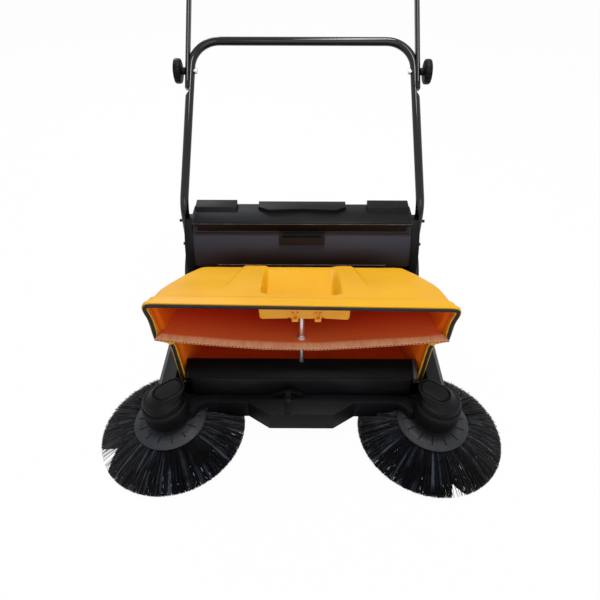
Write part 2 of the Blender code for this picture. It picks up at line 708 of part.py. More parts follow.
def hopper():
    """The hopper shell, a loft from the closed back out to the rimmed mouth and back inside."""
    frame = empty("hopper_frame", (0, 0, 0))
    rim_back = MOUTH_Y + RIM_DEPTH
    outer = [hopper_section(MOUTH_Y, 0, RIM_PROUD), hopper_section(rim_back, 0, RIM_PROUD),
             hopper_section(rim_back + 0.006, 0), hopper_section(MOUTH_Y + 0.040, 0),
             hopper_section(HOPPER_BACK - 0.022, 0), hopper_section(HOPPER_BACK, 0.012)]
    inner = [hopper_section(MOUTH_Y, RIM_WIDTH), hopper_section(MOUTH_Y + 0.005, RIM_WIDTH),
             hopper_section(MOUTH_Y + 0.008, HOPPER_WALL), hopper_section(MOUTH_Y + 0.040, HOPPER_WALL),
             hopper_section(HOPPER_BACK - 0.024, HOPPER_WALL),
             hopper_section(HOPPER_BACK - HOPPER_WALL, 0.012 + HOPPER_WALL)]
    shell = loft("hopper_shell", list(reversed(outer)) + inner, "yellow_plastic", frame)
    opening = block("pocket_opening", (-POCKET_HALF - GAP, POCKET_FRONT - GAP, hopper_top(POCKET_BACK) - 0.030),
                    (POCKET_HALF + GAP, POCKET_BACK + GAP, HOPPER_TOP + 0.02), "steel", frame)
    rod_hole = rod("rod_hole", ROD_RADIUS + GAP, HOPPER_BOTTOM - 0.01, HOPPER_BOTTOM + 0.01, "steel",
                   parent=frame, location=(0, ROD_Y, 0))
    cut(shell, opening, rod_hole)
    grip_pocket(frame)
    grip_bracket(frame)
    tie_rod(frame)
    mouth_gaskets(frame)
    sill(frame)
    packing_sheet(frame)
    return frame


def grip_pocket(frame):
    """The hand pocket let into the top: a tray whose floor falls towards the mouth."""
    front_top, back_top = hopper_top(POCKET_FRONT) + 0.0005, hopper_top(POCKET_BACK) + 0.0005
    outline = [(POCKET_FRONT, front_top), (POCKET_FRONT, front_top - POCKET_DEPTH),
               (POCKET_BACK, back_top - 0.014), (POCKET_BACK, back_top)]
    tray = prism("grip_pocket", outline, "X", -POCKET_HALF, POCKET_HALF, "yellow_plastic", frame)
    hollow = [(POCKET_FRONT + POCKET_WALL, front_top + 0.02),
              (POCKET_FRONT + POCKET_WALL, front_top - POCKET_DEPTH + POCKET_WALL + 0.001),
              (POCKET_BACK - POCKET_WALL, back_top - 0.014 + POCKET_WALL), (POCKET_BACK - POCKET_WALL, back_top + 0.02)]
    cut(tray, prism("pocket_hollow", hollow, "X", -POCKET_HALF + POCKET_WALL, POCKET_HALF - POCKET_WALL,
                    "steel", frame))


def grip_bracket(frame):
    """The box under the top in front of the pocket, with clips; it takes the tie rod's upper end."""
    top = hopper_top(POCKET_FRONT) - HOPPER_WALL - 0.002
    box = block("grip_bracket", (BRACKET_X - BRACKET_HALF, BRACKET_FRONT, BRACKET_BOTTOM),
                (BRACKET_X + BRACKET_HALF, POCKET_FRONT - 2 * GAP, top), "yellow_plastic", frame)
    for x in (-0.014, 0.034):
        clip = block("bracket_clip_" + str(round(x * 1000)),
                     (x - 0.006, BRACKET_FRONT - 0.003, BRACKET_BOTTOM - 0.002),
                     (x + 0.006, BRACKET_FRONT + 0.004, BRACKET_BOTTOM + 0.016), "yellow_plastic", frame)
        join(box, clip)
    cut(box, rod("bracket_rod_hole", ROD_RADIUS + GAP, BRACKET_BOTTOM - 0.01, BRACKET_BOTTOM + ROD_GRIP, "steel",
                 parent=frame, location=(0, ROD_Y, 0)))


def tie_rod(frame):
    """The long steel bolt that ties the hopper's floor to its top; its head is under the floor."""
    seat = HOPPER_BOTTOM - GAP
    turned("tie_rod", [
        (ROD_HEAD_RADIUS, seat - ROD_HEAD_HEIGHT), (ROD_HEAD_RADIUS, seat), (ROD_RADIUS, seat),
        (ROD_RADIUS, BRACKET_BOTTOM + ROD_GRIP - GAP)], "steel", steps=12, parent=frame, location=(0, ROD_Y, 0))


def strip(name, path, width, front, back, finish, frame):
    """A flat band of even width along a path seen from the front."""
    path = [Vector((x, z)) for x, z in path]
    left, right = [], []
    for i, point in enumerate(path):
        ahead = path[min(i + 1, len(path) - 1)]
        behind = path[max(i - 1, 0)]
        along = (ahead - behind).normalized()
        normal = Vector((-along.y, along.x)) * width / 2
        left.append(point + normal)
        right.append(point - normal)
    outline = [(p.x, p.y) for p in left + list(reversed(right))]
    return prism(name, outline, "Y", front, back, finish, frame)


def mouth_gaskets(frame):
    """Black foam seals pressed on the mouth's rim, over the top and down each side."""
    middle = [(p.x, p.z) for p in hopper_section(MOUTH_Y, RIM_WIDTH / 2, RIM_PROUD / 2)]
    front, back = MOUTH_Y - GAP - GASKET_THICKNESS, MOUTH_Y - GAP
    half = len(middle) // 2
    strip("mouth_gasket", middle[4:half] + middle[half:-4], GASKET_WIDTH, front, back, "black_rubber", frame)
    for side, points in ((1, middle[1:3]), (-1, middle[-3:-1])):
        low, high = sorted(points, key=lambda p: p[1])
        ends = [(low[0] + (high[0] - low[0]) * t, low[1] + (high[1] - low[1]) * t) for t in (0.04, 0.96)]
        strip(side_name(side) + "_lower_gasket", ends, GASKET_WIDTH, front, back, "black_rubber", frame)


def sill(frame):
    """The wedge-shaped sill in the lower mouth, its grey ends, and the rubber flap hung in front."""
    floor = HOPPER_BOTTOM + RIM_WIDTH + GAP
    outline = [(SILL_FRONT, floor), (SILL_FRONT, SILL_FOLD_Z), (SILL_BACK, SILL_TOP_Z), (SILL_BACK, floor)]
    ramp = prism("hopper_sill", outline, "X", -SILL_HALF + SILL_END, SILL_HALF - SILL_END, "black_plastic", frame)
    cut(ramp, rod("sill_rod_hole", ROD_RADIUS + GAP, HOPPER_BOTTOM, SILL_TOP_Z + 0.02, "steel", parent=frame,
                  location=(0, ROD_Y, 0)))
    for side in (-1, 1):
        prism(side_name(side) + "_sill_end", outline, "X", side * (SILL_HALF - SILL_END + GAP), side * SILL_HALF,
              "grey_plastic", frame)
    half = [(FLAP_NARROW, FLAP_BOTTOM), (FLAP_NARROW, FLAP_NARROW_Z), (SILL_HALF - FLAP_STEP, FLAP_SHOULDER),
            (SILL_HALF, FLAP_SHOULDER), (SILL_HALF, SILL_FOLD_Z)]
    outline = half + [(-x, z) for x, z in reversed(half)]
    prism("sill_flap", outline, "Y", SILL_FRONT - GAP - FLAP_THICKNESS, SILL_FRONT - GAP, "black_rubber", frame)


def packing_sheet(frame):
    """The loose corrugated sheet on the hopper's shoulders, sagging in the middle, holed for the rod."""
    rows = []
    steps = 10
    for y, rest in ((SHEET_FRONT, SHOULDER_Z + RIM_WIDTH + GAP), (SHEET_BACK, SHOULDER_Z + HOPPER_WALL + 0.0008)):
        half = HOPPER_HALF_WIDTH - HOPPER_TAPER * (y - MOUTH_Y) - RIM_WIDTH - 0.0075
        top, bottom = [], []
        for i in range(steps + 1):
            share = -1 + 2 * i / steps
            z = rest - SHEET_SAG * (1 - share * share)
            bottom.append(Vector((share * half, y, z)))
            top.append(Vector((share * half, y, z + SHEET_THICKNESS)))
        rows.append(bottom + list(reversed(top)))
    sheet = loft("packing_sheet", rows, "cardboard", frame)
    cut(sheet, rod("sheet_hole", ROD_RADIUS + 0.0015, SHOULDER_Z - 2 * SHEET_SAG, SHOULDER_Z + SHEET_SAG, "steel",
                   parent=frame, steps=12, location=(0, ROD_Y, 0)))


def housing_outline(grow=0.0):
    """Side view of the roller housing's front, band, lip and top, from the bottom of its front up."""
    centre = (HOUSING_Y, HOUSING_Z)
    band_top = math.degrees(math.asin((CATCH_TOP - 0.006 - HOUSING_Z) / HOUSING_RADIUS))
    return arc(centre, HOUSING_RADIUS + grow, 179, 180 - band_top, 8)


def roller_housing():
    """The bulged cover over the roller: an extruded wall, open below and towards the hopper."""
    wall = HOUSING_WALL
    outer = housing_outline()
    outer += [(BAND_Y, outer[-1][1] + wall / 2), (BAND_Y, LIP_Z - LIP_THICKNESS - 0.001),
              (LIP_Y, LIP_Z - LIP_THICKNESS), (LIP_Y, LIP_Z), (TOP_BREAK_Y, LIP_Z + LIP_RISE),
              (HOUSING_BACK - SLOPE_SET, LIP_Z - SLOPE_DROP), (HOUSING_BACK - CHEEK_SET, HOUSING_Z + CHEEK_RISE),
              (HOUSING_BACK, HOUSING_Z), (HOUSING_BACK, HOUSING_TAIL_Z)]
    inner = [(HOUSING_BACK - wall, HOUSING_TAIL_Z), (HOUSING_BACK - wall, HOUSING_Z - 0.001),
             (HOUSING_BACK - CHEEK_SET - wall, HOUSING_Z + CHEEK_RISE - 0.003),
             (HOUSING_BACK - SLOPE_SET - 0.003, LIP_Z - SLOPE_DROP - wall),
             (TOP_BREAK_Y - 0.001, LIP_Z + LIP_RISE - wall), (BAND_Y + wall, LIP_Z - wall - 0.001)]
    inner += list(reversed(housing_outline(-wall)))
    prism("roller_housing", outer + inner, "X", -HOUSING_HALF, HOUSING_HALF, "black_plastic")
    front = HOUSING_FRONT + CATCH_SET
    catch = [(front, CATCH_BOTTOM), (front + CATCH_LEAN, CATCH_TOP), (front + CATCH_DEPTH, CATCH_TOP),
             (front + CATCH_DEPTH, CATCH_BOTTOM)]
    pull = prism("front_catch", catch, "X", -CATCH_HALF, CATCH_HALF, "black_plastic")
    clear = turned("catch_seat_cutter", [(HOUSING_RADIUS + GAP, -2 * CATCH_HALF), (HOUSING_RADIUS + GAP, 2 * CATCH_HALF)],
                   "steel", "X", 48, location=(0, HOUSING_Y, HOUSING_Z))
    slot = block("catch_slot", (-CATCH_HALF + CATCH_WALL, front + CATCH_LIP, CATCH_BOTTOM + 0.006),
                 (CATCH_HALF - CATCH_WALL, front + CATCH_LIP + CATCH_SLOT, CATCH_TOP + 0.01), "steel")
    cut(pull, clear, slot)


def housing_cover():
    """The cover on the housing's top: a thin plate with raised blocks at its ends and middle."""
    low = LIP_Z + LIP_RISE + GAP
    front, back = LIP_Y + COVER_PLATE_SET, TOP_BREAK_Y - COVER_BACK_SET
    base = [(front, low), (front, low + COVER_PLATE_THICKNESS), (back + 0.001, low + COVER_PLATE_THICKNESS),
            (back + 0.001, low)]
    cover = prism("housing_cover", base, "X", -BLOCK_OUT, BLOCK_OUT, "black_plastic")
    front += 0.002
    for side in (-1, 1):
        outline = [(front, low + 0.001), (front + BLOCK_SLOPE, low + BLOCK_HEIGHT - BLOCK_DIP),
                   (back, low + BLOCK_HEIGHT), (back, low + 0.001)]
        join(cover, prism(side_name(side) + "_top_block", outline, "X", side * BLOCK_IN, side * (BLOCK_OUT - 0.001),
                          "black_plastic"))
    corner = (CENTRE_HALF - CENTRE_CORNER, front + CENTRE_CORNER_DEPTH)
    plan = [(-CENTRE_HALF, back + 0.0005), (-CENTRE_HALF, corner[1]), (-corner[0], front), (0, front + CENTRE_HOLLOW),
            (corner[0], front), (CENTRE_HALF, corner[1]), (CENTRE_HALF, back + 0.0005)]
    join(cover, prism("centre_top_block", plan, "Z", low + 0.001, low + CENTRE_HEIGHT, "black_plastic"))


def end_plate(side):
    """The plate that closes the housing's end, with the raised rim along its front."""
    label = side_name(side)
    margin = END_PLATE_MARGIN
    inner_x = HOUSING_HALF + GAP
    front = arc((HOUSING_Y, HOUSING_Z), HOUSING_RADIUS + margin, 208, 128, 9)
    outline = [(END_PLATE_FRONT, END_PLATE_BOTTOM), (END_PLATE_FRONT, END_PLATE_STEP_Z)] + front
    outline += [(TOP_BREAK_Y, LIP_Z + margin), (HOUSING_BACK - SLOPE_SET + margin, LIP_Z - SLOPE_DROP + margin),
                (HOUSING_BACK + margin, HOUSING_Z + margin), (HOUSING_BACK + margin, END_PLATE_BOTTOM)]
    plate = prism(label + "_end_plate", outline, "X", side * inner_x, side * (inner_x + END_PLATE_THICKNESS),
                  "black_plastic")
    rim = arc((HOUSING_Y, HOUSING_Z), HOUSING_RADIUS + margin, 208, 128, 9)
    rim += arc((HOUSING_Y, HOUSING_Z), HOUSING_RADIUS + margin - END_RIM_THICKNESS, 128, 208, 9)
    join(plate, prism(label + "_end_rim", rim, "X", side * (inner_x + 0.001), side * END_RIM_OUT, "black_plastic"))
    holes = [rod(label + "_roller_bore", BEARING_RADIUS + GAP, side * (inner_x - 0.01), side * (inner_x + 0.02),
                 "steel", "X", 16, location=(0, *roller_axis())),
             rod(label + "_axle_bore", AXLE_RADIUS + GAP, side * (inner_x - 0.01), side * (inner_x + 0.02),
                 "steel", "X", 16, location=(0, AXLE_Y, WHEEL_RADIUS))]
    for number, z in enumerate(LEG_BOLT_Z):
        boss = block(label + "_leg_boss_" + str(number),
                     (side * (inner_x + 0.001), LEG_Y - LEG_BOSS_HALF, z - LEG_BOSS_HALF),
                     (side * (LEG_X - TUBE_RADIUS + 0.004), LEG_Y + LEG_BOSS_HALF, z + LEG_BOSS_HALF), "black_plastic")
        join(plate, boss)
        holes.append(rod(label + "_leg_bolt_bore_" + str(number), BOLT_RADIUS + GAP, side * (inner_x - 0.01),
                         side * (inner_x + 0.02), "steel", "X", 16, location=(0, LEG_Y, z)))
    holes.append(rod(label + "_leg_seat", TUBE_RADIUS + GAP, LEG_BOTTOM - 0.05, LEG_BEND_Z, "steel",
                     location=(side * LEG_X, LEG_Y, 0)))
    cut(plate, *holes)


def roller_axis():
    """The roller lies ahead of the wheel axle by the centre distance of its internal gear pair."""
    distance = GEAR_MODULE * (INTERNAL_TEETH - PINION_TEETH) / 2
    height = ROLLER_RADIUS + 0.002
    back = math.sqrt(distance ** 2 - (WHEEL_RADIUS - height) ** 2)
    return AXLE_Y - back, height


def wheel(side):
    """Tyre, rim with its internal gear and crown gear in one moulding, and the shouldered stub axle."""
    label = side_name(side)
    frame = empty(label + "_wheel_axis", (0, AXLE_Y, WHEEL_RADIUS))
    near, far = side * WHEEL_IN_X, side * (WHEEL_IN_X + WHEEL_WIDTH)
    seat = WHEEL_RADIUS - TYRE_DEPTH
    turned(label + "_tyre", [
        (seat, near + side * TYRE_INSET), (WHEEL_RADIUS - 0.003, near + side * TYRE_INSET),
        (WHEEL_RADIUS, near + side * (TYRE_INSET + WHEEL_WIDTH) / 2),
        (WHEEL_RADIUS - 0.003, far), (seat, far)], "black_rubber", "X", INTERNAL_TEETH * 2, frame, closed=True,
        start=gear_phase())
    hub = AXLE_RADIUS + 0.010
    disc = far - side * DISC_THICKNESS
    tooth_tip = GEAR_MODULE * (INTERNAL_TEETH / 2) - GEAR_TOOTH
    outer, bore = seat - GAP, AXLE_RADIUS + GAP
    steps, turn = INTERNAL_TEETH * 2, gear_phase()
    crown_root, crown_tip = side * (WHEEL_IN_X + CROWN_TOOTH), side * WHEEL_IN_X
    rows = [circle(r, steps, x, "X", start=turn) for r, x in (
        (bore, near), (hub, near), (hub, disc - side * 0.004))]
    rows += [toothed_circle(r, WHEEL_CROWN_TEETH, crown_root, crown_tip, "X", turn)
             for r in (WHEEL_CROWN_RADIUS - 0.0045, WHEEL_CROWN_RADIUS + 0.0045)]
    rows += [circle(WHEEL_CROWN_RADIUS + 0.0045, steps, disc, "X", start=turn)]
    for x in (disc, near):
        rows.append([Vector((x, a, b)) for a, b in gear_points(INTERNAL_TEETH, tooth_tip + GEAR_TOOTH, turn, True)])
    rows += [circle(r, steps, x, "X", start=turn) for r, x in ((outer, near), (outer, far), (bore, far))]
    loft(label + "_wheel_rim", rows, "grey_plastic", frame, closed=True)
    plate_out = side * (HOUSING_HALF + GAP + END_PLATE_THICKNESS + GAP)
    turned(label + "_stub_axle", [
        (AXLE_RADIUS, side * (HOUSING_HALF - 0.004)), (AXLE_RADIUS, plate_out), (AXLE_RADIUS + 0.005, plate_out),
        (AXLE_RADIUS + 0.005, near - side * GAP), (AXLE_RADIUS, near - side * GAP), (AXLE_RADIUS, far + side * GAP),
        (AXLE_RADIUS + 0.005, far + side * GAP), (AXLE_RADIUS + 0.004, far + side * 0.004)], "steel", "X", 14,
        frame)


def gear_phase():
    """The direction from the wheel axle to the roller axis, where the two gears mesh."""
    y, z = roller_axis()
    return math.atan2(z - WHEEL_RADIUS, y - AXLE_Y)


def layshaft_climb():
    """How far above the level the lay-shaft meets the wheel's crown gear: in one of its valleys, over the roller."""
    return math.pi - gear_phase() + LAYSHAFT_CLIMB_TEETH * 2 * math.pi / WHEEL_CROWN_TEETH


def roller():
    """Core with shaft ends, the thick ring of bristles, and the pinion that the right wheel drives."""
    frame = empty("roller_frame", (0, *roller_axis()))
    inner_x = HOUSING_HALF + END_PLATE_THICKNESS + 2 * GAP
    pinion_x = WHEEL_IN_X + WHEEL_WIDTH - DISC_THICKNESS - 2 * GAP
    end = pinion_x - 0.001
    core = ROLLER_CORE_RADIUS - GAP
    turned("roller_core", [
        (ROLLER_SHAFT_RADIUS, -end), (ROLLER_SHAFT_RADIUS, -ROLLER_HALF), (core, -ROLLER_HALF), (core, ROLLER_HALF),
        (ROLLER_SHAFT_RADIUS, ROLLER_HALF), (ROLLER_SHAFT_RADIUS, end)], "black_plastic", "X", ROLLER_STEPS, frame)
    ring("roller_bristles", ROLLER_CORE_RADIUS, ROLLER_RADIUS, -ROLLER_HALF, ROLLER_HALF, "bristle", "X",
         ROLLER_STEPS, frame)
    for side in (-1, 1):
        label = side_name(side)
        ring(label + "_roller_bearing", ROLLER_SHAFT_RADIUS + GAP, BEARING_RADIUS, side * (HOUSING_HALF - 0.001),
             side * (inner_x + 0.002), "steel", "X", 16, frame)
    outline = gear_points(PINION_TEETH, GEAR_MODULE * PINION_TEETH / 2 - GEAR_TOOTH,
                          gear_phase() + math.pi / PINION_TEETH)
    low, high = pinion_x - GEAR_FACE, pinion_x - GAP
    gear = prism("roller_pinion", outline, "X", low, high, "grey_plastic", frame)
    cut(gear, rod("pinion_bore", ROLLER_SHAFT_RADIUS + GAP, low - 0.01, high + 0.01, "steel", "X", 12, frame, start=0.2))


def layshaft_line(side):
    """The lay-shaft's two gear centres: beside the wheel's crown gear, and under the brush's."""
    axis, base = brush_axis(side), brush_centre(side)
    back = Vector((0, 1, 0))
    back -= axis * back.dot(axis)
    height = CROWN_HEIGHT - CROWN_TOOTH + GEAR_MESH - FRONT_PINION_RADIUS + PINION_TRUNCATION
    front = base + axis * height + back.normalized() * CROWN_RADIUS
    reach = WHEEL_IN_X + GEAR_MESH - REAR_PINION_RADIUS + PINION_TRUNCATION
    rear = Vector((side * reach, AXLE_Y - WHEEL_CROWN_RADIUS * math.cos(layshaft_climb()),
                   WHEEL_RADIUS + WHEEL_CROWN_RADIUS * math.sin(layshaft_climb())))
    return front, rear


def layshaft(side):
    """The drive shaft in the arm, moulded with a pinion at each end; the arm is bored for it."""
    label = side_name(side)
    front, rear = layshaft_line(side)
    run = front - rear
    turn = Vector((0, 0, 1)).rotation_difference(run.normalized())
    frame = empty(label + "_layshaft_axis", rear, rotation=turn)
    length = run.length
    steps = REAR_PINION_TEETH * 2
    rows = [circle(LAYSHAFT_RADIUS, steps, -0.0078)]
    for radius, teeth, place in ((REAR_PINION_RADIUS, REAR_PINION_TEETH, 0.0),
                                 (FRONT_PINION_RADIUS, FRONT_PINION_TEETH, length)):
        outline = gear_points(teeth, radius - PINION_TRUNCATION - PINION_TOOTH, depth=PINION_TOOTH)
        low, high = place - PINION_FACE / 2, place + PINION_FACE / 2
        rows += [circle(LAYSHAFT_RADIUS, steps, low), [Vector((a, b, low)) for a, b in outline],
                 [Vector((a, b, high)) for a, b in outline], circle(LAYSHAFT_RADIUS, steps, high)]
    rows.append(circle(LAYSHAFT_RADIUS, steps, length + 0.0081))
    loft(label + "_layshaft", rows, "grey_plastic", frame)
    arm = bpy.data.objects[label + "_side_arm"]
    cut(arm, rod(label + "_shaft_bore", LAYSHAFT_RADIUS + GAP, 0.05, length + 0.02, "steel", steps=10, parent=frame),
        rod(label + "_pinion_room", FRONT_PINION_RADIUS + 0.002, length - 0.028, length + 0.012, "steel", steps=16,
            parent=frame))


def caster():
    """The small front wheel behind the beam: the cross plate that carries it, a swivel fork, wheel and pin."""
    low = CASTER_PLATE_Z
    high = low + CASTER_PLATE_THICKNESS
    plate = block("cross_plate", (-ARM_IN + GAP, CASTER_Y - CASTER_PLATE_AHEAD, low),
                  (ARM_IN - GAP, CASTER_Y + CASTER_PLATE_BEHIND, high), "black_plastic")
    swivel = empty("caster_swivel_axis", (0, CASTER_Y, 0))
    fork_top = low - GAP
    axle_z = CASTER_WHEEL_RADIUS
    half = CASTER_WHEEL_WIDTH / 2 + CASTER_FORK_GAP
    cheek = [(CASTER_TRAIL - 0.009, axle_z - 0.007), (CASTER_TRAIL + 0.009, axle_z - 0.007),
             (CASTER_TRAIL + 0.010, axle_z + 0.012), (0.014, fork_top), (-0.014, fork_top)]
    fork = prism("caster_fork", cheek, "X", -half - 0.003, -half, "steel", swivel)
    other = prism("fork_cheek", cheek, "X", half, half + 0.003, "steel", swivel)
    bridge = block("fork_bridge", (-half - 0.003, -0.014, fork_top - 0.005), (half + 0.003, 0.014, fork_top), "steel",
                   swivel)
    stem = turned("fork_stem", [(0.006, fork_top - 0.003), (0.006, high + GAP), (0.010, high + GAP),
                                (0.010, high + 0.003)], "steel", steps=16, parent=swivel)
    join(fork, other, bridge, stem)
    cut(fork, rod("fork_bore", 0.003 + GAP, -0.05, 0.05, "steel", "X", 12, swivel, (0, CASTER_TRAIL, axle_z)))
    cut(plate, rod("plate_bore", 0.006 + GAP, low - 0.01, high + 0.015, "steel", parent=swivel))
    wide, bore = CASTER_WHEEL_WIDTH / 2, 0.003 + GAP
    turned("caster_wheel", [
        (bore, -wide), (CASTER_WHEEL_RADIUS - 0.002, -wide), (CASTER_WHEEL_RADIUS, 0.002 - wide),
        (CASTER_WHEEL_RADIUS, wide - 0.002), (CASTER_WHEEL_RADIUS - 0.002, wide), (bore, wide)], "black_rubber", "X", 16,
        swivel, (0, CASTER_TRAIL, axle_z), closed=True)
    rod("caster_axle", 0.003, -half - 0.005, half + 0.005, "steel", "X", 12, swivel, (0, CASTER_TRAIL, axle_z))


def handle():
    """The fixed lower frame, its bolts, the folding upper handle, its grip and the clamp knobs."""
    along = Vector((0, KNOB_Y - LEG_Y, KNOB_Z - LEG_BEND_Z)).normalized()
    corners = [(-LEG_X, LEG_Y, LEG_BOTTOM), (-LEG_X, LEG_Y, LEG_BEND_Z), (-CROSSBAR_X, CROSSBAR_Y, CROSSBAR_Z),
               (CROSSBAR_X, CROSSBAR_Y, CROSSBAR_Z), (LEG_X, LEG_Y, LEG_BEND_Z), (LEG_X, LEG_Y, LEG_BOTTOM)]
    tube_outline = [(p.x, p.y) for p in circle(TUBE_RADIUS, 10)]
    frame_tube = swept("lower_handle_frame", rounded_path(corners, CROSSBAR_BEND, 4), tube_outline,
                       Vector((0, 1, 0)), "black_paint")
    pivot = empty("upper_handle_axis", (0, KNOB_Y, KNOB_Z))
    lean = math.atan2(along.z, along.y)
    for side in (-1, 1):
        label = side_name(side)
        flat = block(label + "_flat_cutter", (side * FLAT_X, -UPPER_TAIL - 0.014, -0.02),
                     (side * (FLAT_X + 0.03), 0.060, 0.02), "steel", pivot)
        flat.rotation_euler = (lean, 0, 0)
        bore = rod(label + "_clamp_bore", BOLT_RADIUS + GAP, side * (FLAT_X - 0.03), side * (FLAT_X + 0.03), "steel",
                   "X", 12, pivot, start=0.2)
        cut(frame_tube, flat, bore)
        for number, z in enumerate(LEG_BOLT_Z):
            cut(frame_tube, rod(label + "_leg_bore_" + str(number), BOLT_RADIUS + GAP, side * (LEG_X - 0.03),
                                side * (LEG_X + 0.03), "steel", "X", 12, location=(0, LEG_Y, z), start=0.2))
            leg_bolt(label + ("_lower" if number == 0 else "_upper"), side, z)
    upper_handle(pivot, along)


def leg_bolt(name, side, z):
    """A bolt through the leg and the boss on the end plate."""
    seat = HOUSING_HALF - GAP
    turned(name + "_leg_bolt", [
        (BOLT_HEAD_RADIUS, side * (seat + GAP - BOLT_HEAD_HEIGHT)), (BOLT_HEAD_RADIUS, side * seat),
        (BOLT_RADIUS, side * seat), (BOLT_RADIUS, side * (LEG_X + TUBE_RADIUS + 0.006))], "steel", "X", 12,
        location=(0, LEG_Y, z))


def upper_handle(pivot, along):
    """The flat-oval upper legs with the bar across their top, one bent tube, and the foam grip."""
    x = FLAT_X + GAP + UPPER_THICKNESS / 2
    top = along * UPPER_LENGTH
    corners = [Vector((-x, 0, 0)) - along * UPPER_TAIL, Vector((-x, 0, 0)) + top,
               Vector((x, 0, 0)) + top, Vector((x, 0, 0)) - along * UPPER_TAIL]
    normal = along.cross(Vector((1, 0, 0))).normalized()
    bar = swept("upper_handle", rounded_path(corners, UPPER_BEND, 4), oval(UPPER_THICKNESS, UPPER_WIDTH),
                normal, "black_paint", pivot)
    for side in (-1, 1):
        label = side_name(side)
        cut(bar, rod(label + "_upper_bore", BOLT_RADIUS + GAP, side * (FLAT_X - 0.02), side * (FLAT_X + 0.04), "steel",
                     "X", 16, pivot))
        clamp_knob(label, side, pivot)
    grip(pivot, top, along, normal)


def oval(thickness, width):
    """A flat-oval tube's outline: straight sides and half-round edges, twelve points."""
    r, half = thickness / 2, (width - thickness) / 2
    upper = [(a, b + half) for a, b in arc((0, 0), r, 0, 180, 5)]
    lower = [(a, b - half) for a, b in arc((0, 0), r, 180, 360, 5)]
    return upper + lower


def grip(pivot, top, along, normal):
    """The foam grip on the bar."""
    inner = oval(UPPER_THICKNESS + 2 * GAP, UPPER_WIDTH + 2 * GAP)
    outer = [(GRIP_RADIUS * math.cos(math.atan2(b, a)), GRIP_RADIUS * math.sin(math.atan2(b, a))) for a, b in inner]
    rows = []
    for outline, x in ((inner, -GRIP_HALF), (outer, -GRIP_HALF), (outer, GRIP_HALF), (inner, GRIP_HALF)):
        rows.append([Vector((x, 0, 0)) + top + along * a + normal * b for a, b in outline])
    loft("foam_grip", rows, "foam", pivot, closed=True)


def clamp_knob(label, side, pivot):
    """The round clamp knob with its neck, and the bolt it turns."""
    seat = FLAT_X + UPPER_THICKNESS + 2 * GAP
    disc = seat + KNOB_NECK
    steps = 20
    rows = []
    for r, h, ribbed in ((0.009, seat, False), (0.010, disc, False), (KNOB_RADIUS - 0.004, disc + 0.001, True),
                         (KNOB_RADIUS, disc + 0.006, True), (KNOB_RADIUS, disc + KNOB_THICKNESS - 0.005, True),
                         (KNOB_RADIUS - 0.005, disc + KNOB_THICKNESS, True)):
        row = []
        for i in range(steps):
            reach = r - (0.0012 if ribbed and i % 2 == 0 else 0)
            angle = 2 * math.pi * i / steps
            row.append(Vector((side * h, reach * math.cos(angle), reach * math.sin(angle))))
        rows.append(row)
    knob = loft(label + "_clamp_knob", rows, "black_plastic", pivot)
    thread = disc + 0.004
    cut(knob, rod(label + "_knob_thread", BOLT_RADIUS + GAP, side * (seat - 0.01), side * thread, "steel", "X", 16,
                  pivot))
    head = LEG_TOP_X - TUBE_RADIUS
    turned(label + "_clamp_bolt", [
        (BOLT_HEAD_RADIUS, side * (head - BOLT_HEAD_HEIGHT - 0.001)), (BOLT_HEAD_RADIUS, side * (head - GAP)),
        (BOLT_RADIUS, side * (head - GAP)), (BOLT_RADIUS, side * (thread - GAP))], "steel", "X", 12, pivot)


def rear_flap():
    """The rubber dust flap along the housing's rear lower edge."""
    half = HOUSING_HALF - REAR_FLAP_SET_IN
    block("rear_flap", (-half, HOUSING_BACK + GAP, REAR_FLAP_BOTTOM),
          (half, HOUSING_BACK + GAP + REAR_FLAP_THICKNESS, REAR_FLAP_TOP), "black_rubber")


front_bumper()
for which in (-1, 1):
    side_arm(which, side_brush(which))
    end_plate(which)
    wheel(which)
    layshaft(which)
front_lever()
roller_housing()
housing_cover()
roller()
hopper()
caster()
rear_flap()
handle()
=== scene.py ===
"""Looks of a pushed floor sweeper: two tilted side brushes, a roller, a lift-out hopper and a folding handle.

Metres, +Z up. The side brushes are at -Y and the push handle leans back to +Y.
"""
import math

import bmesh
import bpy
import numpy as np
from mathutils import Matrix, Vector


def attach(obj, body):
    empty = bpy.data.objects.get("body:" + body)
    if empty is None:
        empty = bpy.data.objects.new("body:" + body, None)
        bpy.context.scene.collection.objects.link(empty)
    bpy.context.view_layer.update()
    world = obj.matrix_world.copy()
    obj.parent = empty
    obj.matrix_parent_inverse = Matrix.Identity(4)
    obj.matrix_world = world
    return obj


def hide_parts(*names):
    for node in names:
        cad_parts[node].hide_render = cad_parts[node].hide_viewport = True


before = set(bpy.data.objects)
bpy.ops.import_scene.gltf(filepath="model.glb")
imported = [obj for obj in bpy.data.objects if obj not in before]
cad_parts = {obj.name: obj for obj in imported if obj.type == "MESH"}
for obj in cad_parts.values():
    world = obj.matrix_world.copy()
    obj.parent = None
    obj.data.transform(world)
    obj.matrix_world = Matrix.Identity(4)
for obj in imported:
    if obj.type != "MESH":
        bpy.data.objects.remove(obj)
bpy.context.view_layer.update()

# The view and the light.
# The camera stands in front of the machine, about a metre up, and looks down on it. Soft lamps hang over it.
camera = bpy.data.objects.new("camera", bpy.data.cameras.new("camera"))
bpy.context.collection.objects.link(camera)
camera.data.sensor_width = 36
camera.data.lens = 31.05
camera.matrix_world = (
    Matrix.Translation((-0.001, -1.1671, 1.012))
    @ Matrix.Rotation(math.radians(0.19), 4, "Z")
    @ Matrix.Rotation(math.radians(50.6), 4, "X")
    @ Matrix.Rotation(math.radians(0.11), 4, "Z")
)
bpy.context.scene.camera = camera
bpy.context.scene.view_settings.view_transform = "Standard"


